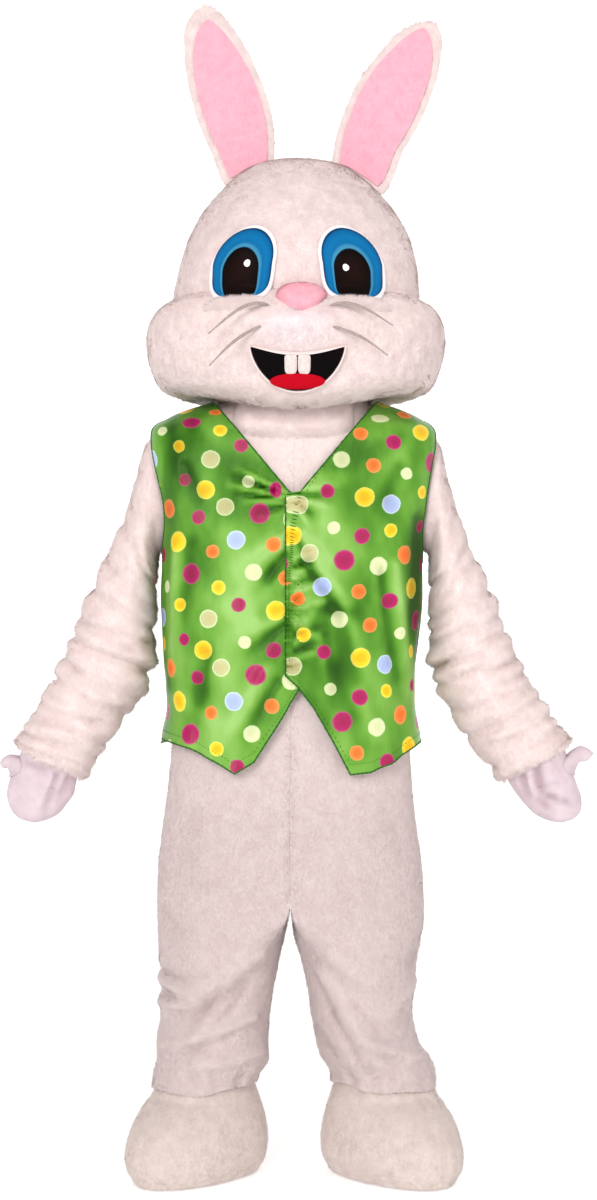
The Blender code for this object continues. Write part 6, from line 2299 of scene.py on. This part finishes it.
    def layers(self, angle: float, height: float, raised: float = 0.0, flare: float = 0.0) -> Layers:
        """Outer and inner point of the vest.

        Args:
            angle: the angle round it.
            height: height above the floor.
            raised: how far it is lifted off the body.
            flare: how far a loose edge stands out.

        Returns:
            Both points.
        """
        point, inward = self.plain(angle, height)
        point -= inward * (raised + flare + self.lift(point) + 0.0008)
        return point, point + inward * self.satin

    def height(self, bottom: float, part: float) -> float:
        """The height at a share of the way from the hem to the shoulder seam.

        Args:
            bottom: the hem's height.
            part: share of the way, 0 to 1.

        Returns:
            The height above the floor.
        """
        row = part * (self.lower_rows + len(self.stops) - 1)
        if row < self.lower_rows:
            return bottom + (self.stops[0] - bottom) * row / self.lower_rows
        return among(self.stops, (row - self.lower_rows) / (len(self.stops) - 1))

    @staticmethod
    def sway(part: float, across: float, beat: float, slow: float) -> float:
        """How far the hem stands out near its edge.

        Args:
            part: share of the way up.
            across: place along the hem.
            beat: how close its waves are.
            slow: how close their drift is.

        Returns:
            The distance.
        """
        return math.exp(-((part / 0.05) ** 2)) * 0.0022 * math.sin(across * beat + 1.3 * math.sin(across * slow))

    def front(self, side: Side, u: float, v: float) -> tuple[float, float, float, float]:
        """A place of one front.

        Args:
            side: the front.
            u: share of the way from the side seam to the centre.
            v: share of the way up.

        Returns:
            The angle and height, how far it is lapped over the other front, and how far its edge ruffles.
        """
        right = side is Side.RIGHT
        hem, seam = (self.right_hem, TURN) if right else (self.left_hem, math.pi)
        foot, edge_x = self.form.at(1.0), hem[-1].x
        corner_x, bottom = (among(line, u) for line in zip(*hem))
        share = (angle_at(foot, corner_x, Face.FRONT) - seam) / (angle_at(foot, edge_x, Face.FRONT) - seam)
        height = self.height(bottom, v)
        start = seam - side.sign * hole_edge(height, *self.hole)
        level = self.form.level(height)
        if height > self.opening_height:
            edge_x = side.sign * (self.neck_x + self.neck_slope * (height - self.opening_height))
        angle = start + (angle_at(level, edge_x, Face.FRONT) - start) * share
        over = self.lap * ease((0.070 - level_point(level, angle)[0].x) / 0.045) if right else 0.0
        near = math.exp(-(((1 - u) / 0.13) ** 2))
        loose = ease((1.10 - height) / 0.05) * ease((height - 0.885) / 0.02) if right else 0.25
        ruffle = near * loose * 0.0062 * math.sin(height * 330.0 + 2.2 * math.sin(height * 70.0))
        low = self.sway(v, corner_x, 120.0, 41.0)
        return angle, height, over, ruffle * (1 if right else 0.6) + low + 0.0006 * near

    def build(self) -> None:
        """Makes the fronts, the back, their bound edges and stitches."""
        for side in Side:
            self._front(side)
        self._back()

    def _front(self, side: Side) -> None:
        """Makes one front.

        Args:
            side: the front.
        """
        name = side.value
        move_x, move_y = self.right_print if side is Side.RIGHT else (0.0, 0.0)

        def surface(u: float, v: float) -> Layers:
            """Both sides of the satin."""
            return self.layers(*self.front(side, u, v))

        def cloth(u: float, v: float) -> Place:
            """The place in metres of cloth."""
            round_body, climb = self.cloth(*self.front(side, u, v)[:2])
            return round_body + move_x, climb + move_y

        patch = Patch(surface, 100, 122, cloth, lambda u, v: self.tone(*self.front(side, u, v)[:2]))
        front = Workroom.wall(f"vest_satin_front_{name}", [patch], self.wardrobe["satin"], [f"vest_front_{name}"],
                              "green_satin", (0.0, -HALF_SEAM, 0.0))
        edging = self._edging(name, surface, 150, (
            ((1.0, 0.0), (0.0, 1.0)), ((0.0, 0.0), (1.0, 0.0)), ((0.0, self.arm_edge[0]), (0.0, self.arm_edge[1])),
        ))
        stitches = self._stitches(f"vest_stitches_{name}", surface, side)

    def _back(self) -> None:
        """Makes the back."""
        def place(u: float, v: float) -> Place:
            """The angle and height of a place."""
            height = self.height(self.back_hem, v)
            edge = hole_edge(height, *self.hole)
            across = math.sin(math.pi * u)
            if height > self.nape_start:
                height -= (height - self.nape_start) * self.nape_dip * across * across
            return edge + (math.pi - 2 * edge) * u, height

        def surface(u: float, v: float) -> Layers:
            """Both sides of the satin."""
            return self.layers(*place(u, v), 0.0, self.sway(v, u, 46.0, 17.0))

        patch = Patch(surface, 108, 92, lambda u, v: self.cloth(*place(u, v)), lambda u, v: self.tone(*place(u, v)))
        back = Workroom.wall("vest_satin_back", [patch], self.wardrobe["satin"], ["vest_back"], "green_satin",
                             (0.0, HALF_SEAM, 0.0))
        edging = self._edging("back", surface, 170, (
            ((0.0, 0.0), (1.0, 0.0)), ((0.0, 1.0), (1.0, 0.0)),
            *(((end, self.arm_edge[0]), (0.0, self.arm_edge[1])) for end in (0.0, 1.0)),
        ))

    def _edging(self, name: str, surface: Surface, steps: int, edges: Sequence[tuple[Place, Place]]) -> Piece:
        """A narrow turned and bound edge along lines of the cloth.

        Args:
            name: the cloth's name.
            surface: the cloth.
            steps: how many steps each line takes.
            edges: each line's start, and how far it runs.

        Returns:
            The piece.
        """
        radii = [self.edge_radius + 0.0003 * math.sin(1.9 * number) for number in range(steps + 1)]
        runs = [([surface(u + run_u * step / steps, v + run_v * step / steps)[0] for step in range(steps + 1)], radii)
                for (u, v), (run_u, run_v) in edges]
        return Workroom.strands(f"vest_edging_{name}", runs, 6, self.wardrobe["edging"], "green_satin")

    def _stitches(self, name: str, surface: Surface, side: Side) -> Piece:
        """Short stitches along the hem and the lapped centre edge.

        Args:
            name: the piece's name.
            surface: the front's surface.
            side: the front.

        Returns:
            The piece.
        """
        places = [((step + 0.5) / 62, 0.020, 0.006, 0.0) for step in range(62)]
        if side is Side.RIGHT:
            places += [(0.978, 0.12 + 0.62 * (step + 0.5) / 66, 0.0, 0.0045) for step in range(66)]
        runs = []
        for u, v, wide, tall in places:
            (first, under), (second, _) = (
                surface(min(u + wide * way, 1.0) if wide else u + 0.012 * way, v + tall * way) for way in (-0.5, 0.5)
            )
            out = (first - under).normalized() * self.stitch
            runs.append(((first - out, (first + second) / 2 + out * 2.2, second - out),
                         (self.stitch, 1.5 * self.stitch, self.stitch)))
        return Workroom.strands(name, runs, 5, self.wardrobe["thread"], "green_satin")


# ---------------------------------------------------------------- the room
@dataclass
class Studio:
    """A pale floor that sweeps up behind the costume, soft daylight and the camera."""

    camera_place: tuple[float, float, float] = (0.0062, -4.254, -0.340)
    lens: float = 71.7
    half_width: float = 45.0
    front: float = -45.0
    bend_start: float = 12.5
    bend: float = 3.0
    bend_steps: int = 24
    top: float = 9.0

    def camera(self) -> None:
        """Sets the camera level, straight before the costume."""
        data = bpy.data.cameras.new("camera")
        data.lens = self.lens
        data.sensor_width = 36.0
        camera = bpy.data.objects.new("camera", data)
        camera.location = self.camera_place
        camera.rotation_euler = (math.pi / 2, 0.0, 0.0)
        bpy.context.collection.objects.link(camera)
        bpy.context.scene.camera = camera

    def sun(self, name: str, way: Vector, strength: float, spread: float) -> None:
        """A soft far light.

        Args:
            name: its name.
            way: the direction that its light comes from.
            strength: its strength.
            spread: degrees across, which softens its shadows.
        """
        data = bpy.data.lights.new(name, "SUN")
        data.energy, data.angle = strength, math.radians(spread)
        lamp = bpy.data.objects.new(name, data)
        lamp.rotation_euler = way.to_track_quat("Z", "Y").to_euler()
        bpy.context.collection.objects.link(lamp)

    def backdrop(self) -> None:
        """Lays the floor and bends it up behind the costume."""
        line = [(self.front, 0.0), (0.0, 0.0)]
        for step in range(self.bend_steps + 1):
            turn = math.pi / 2 * step / self.bend_steps
            line.append((self.bend_start + self.bend * math.sin(turn), self.bend * (1 - math.cos(turn))))
        line.append((line[-1][0], self.top))
        mesh = bmesh.new()
        edge = [mesh.verts.new((-self.half_width, y, z)) for y, z in line]
        for near, far in zip(edge, edge[1:]):
            mesh.edges.new((near, far))
        grown = bmesh.ops.extrude_edge_only(mesh, edges=list(mesh.edges))
        moved = [item for item in grown["geom"] if isinstance(item, bmesh.types.BMVert)]
        bmesh.ops.translate(mesh, vec=(2 * self.half_width, 0.0, 0.0), verts=moved)
        paper = Bench("studio_paper", Roughness=0.95, Specular_IOR_Level=0.0, Emission_Strength=0.34,
                      Emission_Color=(1.0, 1.0, 1.0, 1.0))
        grain = paper.noise(paper.place(), 3.0)
        paper.colour(paper.ramp(grain, [(0.0, (0.92, 0.92, 0.92)), (1.0, (0.95, 0.95, 0.95))]))
        Workroom.keep("floor", mesh, paper.material)

    def build(self) -> None:
        """Lays the backdrop and sets the lights."""
        self.backdrop()
        world = bpy.data.worlds.new("studio")
        bpy.context.scene.world = world
        world.use_nodes = True
        sky = world.node_tree.nodes["Background"].inputs
        sky["Color"].default_value = (1.0, 0.995, 0.99, 1.0)
        sky["Strength"].default_value = 0.56
        self.sun("key", Vector((-0.30, -0.88, 0.34)), 1.58, 26.0)
        self.sun("fill", Vector((0.70, -0.85, 0.20)), 0.85, 50.0)
        self.sun("back", Vector((0.30, 0.80, 0.62)), 0.60, 60.0)
        bpy.context.scene.view_settings.view_transform = "Standard"


# ---------------------------------------------------------------- the costume
EARS = {
    Side.LEFT: table(
        Cross,
        (-0.122, 1.77, -0.036, 1.79, 0.004, 0.018), (-0.15, 1.812, -0.033, 1.83, 0.006, 0.018),
        (-0.172, 1.862, -0.037, 1.874, 0.008, 0.017), (-0.187, 1.91, -0.046, 1.912, 0.01, 0.016),
        (-0.197, 1.958, -0.062, 1.956, 0.012, 0.015), (-0.201, 2.004, -0.082, 1.998, 0.014, 0.014),
        (-0.198, 2.042, -0.104, 2.035, 0.015, 0.012), (-0.183, 2.07, -0.13, 2.066, 0.016, 0.008),
        (-0.16, 2.083, -0.16, 2.083, 0.016, 0.0),
    ),
    Side.RIGHT: table(
        Cross,
        (0.152, 1.768, 0.062, 1.79, 0.004, 0.018), (0.196, 1.82, 0.069, 1.84, 0.006, 0.018),
        (0.224, 1.868, 0.083, 1.884, 0.008, 0.017), (0.244, 1.914, 0.102, 1.928, 0.01, 0.016),
        (0.258, 1.958, 0.126, 1.968, 0.012, 0.015), (0.265, 1.998, 0.152, 2.0, 0.014, 0.014),
        (0.264, 2.028, 0.18, 2.03, 0.015, 0.012), (0.256, 2.046, 0.212, 2.048, 0.016, 0.008),
        (0.238, 2.053, 0.238, 2.053, 0.016, 0.0),
    ),
}
LEGS = {
    Side.LEFT: table(
        Cross,
        (-0.247, 0.488, -0.008, 0.488, 0.005, 0.133), (-0.246, 0.44, -0.019, 0.44, 0.004, 0.124),
        (-0.243, 0.385, -0.026, 0.385, 0.004, 0.117), (-0.24, 0.325, -0.038, 0.325, 0.006, 0.112),
        (-0.242, 0.275, -0.044, 0.275, 0.01, 0.11), (-0.249, 0.228, -0.046, 0.228, 0.015, 0.11),
        (-0.246, 0.19, -0.044, 0.19, 0.018, 0.108), (-0.238, 0.16, -0.056, 0.16, 0.02, 0.1),
    ),
    Side.RIGHT: table(
        Cross,
        (0.231, 0.488, -0.008, 0.488, 0.005, 0.133), (0.228, 0.44, -0.005, 0.44, 0.004, 0.124),
        (0.22, 0.385, 0.009, 0.385, 0.004, 0.117), (0.21, 0.325, 0.021, 0.325, 0.006, 0.112),
        (0.211, 0.275, 0.027, 0.275, 0.01, 0.11), (0.221, 0.228, 0.037, 0.228, 0.015, 0.11),
        (0.242, 0.196, 0.046, 0.196, 0.018, 0.108), (0.238, 0.162, 0.062, 0.162, 0.02, 0.1),
    ),
}
LEG_FOLDS = {
    Side.LEFT: table(
        Fold,
        (-0.06, 0.4, -0.23, 0.3, 0.007, 0.019), (-0.126, 0.346, -0.198, 0.256, -0.004, 0.0085),
        (-0.084, 0.34, -0.184, 0.222, -0.0036, 0.009), (-0.24, 0.368, -0.184, 0.35, -0.005, 0.0065),
        (-0.085, 0.352, -0.225, 0.275, -0.005, 0.012), (-0.075, 0.29, -0.235, 0.235, 0.0075, 0.015),
        (-0.11, 0.262, -0.232, 0.212, -0.0046, 0.01), (-0.06, 0.225, -0.17, 0.205, 0.0062, 0.013),
        (-0.246, 0.352, -0.19, 0.338, 0.0055, 0.009), (-0.248, 0.33, -0.2, 0.326, -0.006, 0.007),
        (-0.246, 0.31, -0.18, 0.312, 0.0048, 0.009), (-0.24, 0.5, -0.2, 0.42, -0.003, 0.016),
        (-0.03, 0.47, -0.11, 0.38, 0.0035, 0.018),
    ),
    Side.RIGHT: table(
        Fold,
        (0.045, 0.372, 0.14, 0.215, 0.007, 0.015), (0.032, 0.362, 0.068, 0.286, -0.004, 0.008),
        (0.06, 0.3, 0.124, 0.196, -0.0048, 0.008), (0.092, 0.32, 0.172, 0.242, -0.0034, 0.008),
        (0.06, 0.395, 0.19, 0.33, 0.006, 0.02), (0.03, 0.27, 0.075, 0.205, -0.0044, 0.01),
        (0.13, 0.25, 0.225, 0.215, 0.0075, 0.014), (0.15, 0.222, 0.232, 0.196, -0.0045, 0.009),
        (0.228, 0.42, 0.2, 0.36, -0.004, 0.013), (0.236, 0.235, 0.2, 0.205, 0.007, 0.012),
        (0.212, 0.345, 0.17, 0.3, 0.004, 0.013), (0.01, 0.47, 0.09, 0.4, 0.0034, 0.018),
    ),
}
LEG_BACK_FOLDS = {
    Side.LEFT: table(
        Fold,
        (-0.05, 0.39, -0.22, 0.33, 0.0075, 0.018), (-0.06, 0.35, -0.215, 0.296, -0.0052, 0.012),
        (-0.07, 0.31, -0.23, 0.25, 0.007, 0.016), (-0.09, 0.24, -0.2, 0.215, 0.0056, 0.013),
        (-0.06, 0.47, -0.15, 0.43, 0.0034, 0.018),
    ),
    Side.RIGHT: table(
        Fold,
        (0.04, 0.38, 0.2, 0.32, 0.0075, 0.018), (0.05, 0.34, 0.19, 0.28, -0.0052, 0.012),
        (0.06, 0.3, 0.205, 0.245, 0.007, 0.016), (0.08, 0.236, 0.18, 0.212, 0.0056, 0.013),
        (0.05, 0.47, 0.14, 0.43, 0.0034, 0.018),
    ),
}
SLEEVES = {
    Side.LEFT: table(
        Cross,
        (-0.247, 1.312, -0.232, 1.102, 0.0, 0.086), (-0.264, 1.298, -0.241, 1.1, 0.0, 0.085),
        (-0.283, 1.232, -0.245, 1.084, 0.0, 0.084), (-0.301, 1.166, -0.247, 1.058, 0.0, 0.083),
        (-0.336, 1.092, -0.247, 1.016, 0.0, 0.083), (-0.371, 1.014, -0.247, 0.958, -0.002, 0.082),
        (-0.395, 0.958, -0.248, 0.903, -0.004, 0.081), (-0.415, 0.905, -0.268, 0.853, -0.006, 0.079),
        (-0.442, 0.858, -0.306, 0.806, -0.009, 0.077), (-0.468, 0.808, -0.334, 0.76, -0.012, 0.074),
        (-0.486, 0.778, -0.364, 0.718, -0.015, 0.07), (-0.4875, 0.758, -0.38, 0.706, -0.016, 0.0498),
    ),
    Side.RIGHT: table(
        Cross,
        (0.243, 1.312, 0.23, 1.102, 0.0, 0.086), (0.258, 1.294, 0.238, 1.1, 0.0, 0.085),
        (0.272, 1.228, 0.24, 1.082, 0.0, 0.084), (0.293, 1.156, 0.24, 1.054, 0.0, 0.083),
        (0.323, 1.086, 0.239, 1.01, 0.0, 0.083), (0.354, 1.018, 0.238, 0.954, -0.002, 0.082),
        (0.377, 0.96, 0.238, 0.902, -0.004, 0.081), (0.397, 0.91, 0.256, 0.852, -0.006, 0.079),
        (0.424, 0.862, 0.286, 0.802, -0.009, 0.077), (0.452, 0.82, 0.316, 0.758, -0.012, 0.074),
        (0.478, 0.78, 0.352, 0.714, -0.015, 0.07), (0.4815, 0.761, 0.37, 0.702, -0.016, 0.0498),
    ),
}
ROLLS = {
    Side.LEFT: table(
        Roll,
        (2.55, 0.006, 0.2, 0.3, 0.9, 0.1), (3.25, 0.0095, 0.17, FRONT_TURN, 1.5, 0.14),
        (3.95, 0.011, 0.15, 0.2, 1.4, -0.1), (4.2, 0.006, 0.12, FRONT_TURN - 0.6, 0.6, 0.05),
        (4.75, 0.012, 0.15, FRONT_TURN, 1.7, 0.12), (5.35, 0.0105, 0.14, FRONT_TURN + 0.5, 1.4, -0.08),
        (5.62, 0.007, 0.11, FRONT_TURN - 0.5, 0.8, 0.06), (6.15, 0.0125, 0.15, FRONT_TURN, 1.8, 0.1),
        (6.8, 0.011, 0.14, 0.3, 1.2, -0.12), (7.1, 0.008, 0.12, FRONT_TURN - 0.4, 0.9, 0.1),
        (7.65, 0.0125, 0.16, FRONT_TURN, 1.7, 0.12), (8.3, 0.009, 0.13, FRONT_TURN + 0.6, 1.1, -0.08),
        (8.75, 0.0115, 0.15, FRONT_TURN - 0.2, 1.5, 0.1), (9.45, 0.01, 0.14, FRONT_TURN, 1.6, -0.1),
        (10.2, 0.0085, 0.14, 0.4, 1.8, 0.08), (3.6, 0.009, 0.16, BACK_TURN, 1.2, 0.12),
        (4.6, 0.0105, 0.16, BACK_TURN, 1.3, -0.1), (5.7, 0.011, 0.16, BACK_TURN, 1.3, 0.12),
        (6.6, 0.01, 0.15, BACK_TURN, 1.2, -0.08), (7.4, 0.011, 0.16, BACK_TURN, 1.3, 0.1),
        (8.5, 0.01, 0.15, BACK_TURN, 1.2, 0.08), (9.6, 0.009, 0.15, BACK_TURN, 1.2, -0.1),
        (6.35, 0.011, 0.16, math.pi, 0.5, 0.05), (5.2, 0.008, 0.14, math.pi, 0.4, 0.05),
    ),
    Side.RIGHT: table(
        Roll,
        (2.8, 0.005, 0.2, 0.2, 0.8, 0.12), (3.45, 0.01, 0.16, FRONT_TURN, 1.6, -0.12),
        (3.95, 0.0115, 0.14, 0.0, 1.5, 0.1), (4.55, 0.011, 0.14, FRONT_TURN, 1.5, -0.14),
        (4.8, 0.007, 0.11, FRONT_TURN - 0.7, 0.7, 0.05), (5.3, 0.012, 0.15, FRONT_TURN, 1.7, -0.1),
        (5.95, 0.011, 0.14, FRONT_TURN + 0.4, 1.3, 0.1), (6.2, 0.0075, 0.11, FRONT_TURN - 0.6, 0.8, -0.06),
        (6.75, 0.0125, 0.16, FRONT_TURN, 1.8, -0.12), (7.35, 0.0095, 0.13, 0.2, 1.1, 0.08),
        (7.75, 0.011, 0.15, FRONT_TURN - 0.3, 1.4, -0.12), (8.45, 0.0115, 0.15, FRONT_TURN, 1.6, 0.1),
        (9.05, 0.0085, 0.13, FRONT_TURN + 0.5, 1.1, -0.08), (9.6, 0.01, 0.15, FRONT_TURN, 1.7, 0.08),
        (10.25, 0.008, 0.14, 0.3, 1.8, -0.08), (3.7, 0.009, 0.16, BACK_TURN, 1.2, 0.12),
        (4.7, 0.0105, 0.16, BACK_TURN, 1.3, -0.1), (5.6, 0.011, 0.16, BACK_TURN, 1.3, 0.12),
        (6.5, 0.01, 0.15, BACK_TURN, 1.2, -0.08), (7.5, 0.011, 0.16, BACK_TURN, 1.3, 0.1),
        (8.6, 0.01, 0.15, BACK_TURN, 1.2, 0.08), (9.5, 0.009, 0.15, BACK_TURN, 1.2, -0.1),
        (6.1, 0.011, 0.16, math.pi, 0.5, 0.05), (7.25, 0.009, 0.14, math.pi, 0.4, 0.05),
    ),
}
MITTENS = {
    Side.LEFT: table(
        Cross,
        (-0.468, 0.779, -0.3744, 0.7338, -0.016, 0.041), (-0.483, 0.756, -0.385, 0.7085, -0.016, 0.045),
        (-0.494, 0.731, -0.3885, 0.693, -0.018, 0.042), (-0.506, 0.7, -0.392, 0.676, -0.02, 0.038),
        (-0.51, 0.674, -0.403, 0.66, -0.022, 0.034), (-0.502, 0.648, -0.418, 0.642, -0.023, 0.029),
        (-0.486, 0.633, -0.439, 0.631, -0.024, 0.021), (-0.462, 0.626, -0.462, 0.626, -0.024, 0.0),
    ),
    Side.RIGHT: table(
        Cross,
        (0.4625, 0.783, 0.3632, 0.7302, -0.016, 0.041), (0.4772, 0.7588, 0.3752, 0.7048, -0.016, 0.045),
        (0.485, 0.733, 0.383, 0.69, -0.018, 0.042), (0.496, 0.703, 0.393, 0.675, -0.02, 0.038),
        (0.506, 0.674, 0.408, 0.656, -0.022, 0.034), (0.506, 0.65, 0.426, 0.64, -0.023, 0.029),
        (0.494, 0.634, 0.448, 0.63, -0.024, 0.021), (0.472, 0.626, 0.472, 0.626, -0.024, 0.0),
    ),
}
THUMBS = {
    Side.LEFT: table(
        Cross,
        (-0.501, 0.75, -0.505, 0.722, -0.017, 0.0145), (-0.508, 0.746, -0.511, 0.722, -0.017, 0.0135),
        (-0.517, 0.741, -0.518, 0.722, -0.017, 0.011), (-0.524, 0.731, -0.524, 0.731, -0.017, 0.0),
    ),
    Side.RIGHT: table(
        Cross,
        (0.493, 0.764, 0.497, 0.732, -0.017, 0.0145), (0.507, 0.762, 0.506, 0.733, -0.017, 0.014),
        (0.52, 0.757, 0.518, 0.735, -0.017, 0.0115), (0.53, 0.748, 0.53, 0.748, -0.017, 0.0),
    ),
}
MITTEN_CREASES = {
    Side.LEFT: table(
        Fold,
        (-0.418, 0.712, -0.44, 0.648, -0.0042, 0.0072), (-0.424, 0.708, -0.447, 0.65, 0.002, 0.0101),
        (-0.398, 0.705, -0.414, 0.668, -0.0022, 0.0072), (-0.47, 0.735, -0.43, 0.722, -0.002, 0.0087),
    ),
    Side.RIGHT: table(
        Fold,
        (0.398, 0.712, 0.416, 0.662, -0.0038, 0.008), (0.424, 0.724, 0.436, 0.664, -0.0046, 0.009),
        (0.444, 0.728, 0.462, 0.684, 0.003, 0.011), (0.446, 0.676, 0.49, 0.66, -0.0044, 0.007),
        (0.428, 0.666, 0.448, 0.654, -0.0026, 0.008), (0.41, 0.7, 0.424, 0.668, 0.0022, 0.009),
        (0.466, 0.668, 0.494, 0.648, 0.002, 0.009),
    ),
}
ANKLES = {Side.LEFT: Vector((-0.158, 0.020, 0.0)), Side.RIGHT: Vector((0.155, 0.020, 0.0))}


def main() -> None:
    """Builds the costume round its frame, piece by piece."""
    logging.basicConfig(level=logging.INFO, format="%(message)s")
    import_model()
    studio = Studio()
    studio.camera()
    wardrobe = Wardrobe()
    wardrobe.fill()

    head = Head(wardrobe)
    eyes = [Eye(head, side=side) for side in Side]
    nose, mouth = Nose(head), Mouth(head)
    head.build([eye.iris.mask(0.0045) for eye in eyes] + [nose.mask, mouth.mask])
    for part in (*eyes, nose, mouth, Whiskers(head), *(Ear(head, side, EARS[side]) for side in Side)):
        part.build()

    body = Body()
    boots = {side: Boot(wardrobe, side, ANKLES[side]) for side in Side}
    for part in (
        *boots.values(),
        *(SuitHalf(wardrobe, side, body, boots[side], LEGS[side], LEG_FOLDS[side], LEG_BACK_FOLDS[side])
          for side in Side),
        *(Sleeve(wardrobe, side, body, SLEEVES[side], ROLLS[side]) for side in Side),
        *(Mitten(wardrobe, side, MITTENS[side], THUMBS[side], MITTEN_CREASES[side]) for side in Side),
        Neck(wardrobe, head, body), Vest(wardrobe), studio,
    ):
        part.build()


if __name__ == "__main__":
    main()
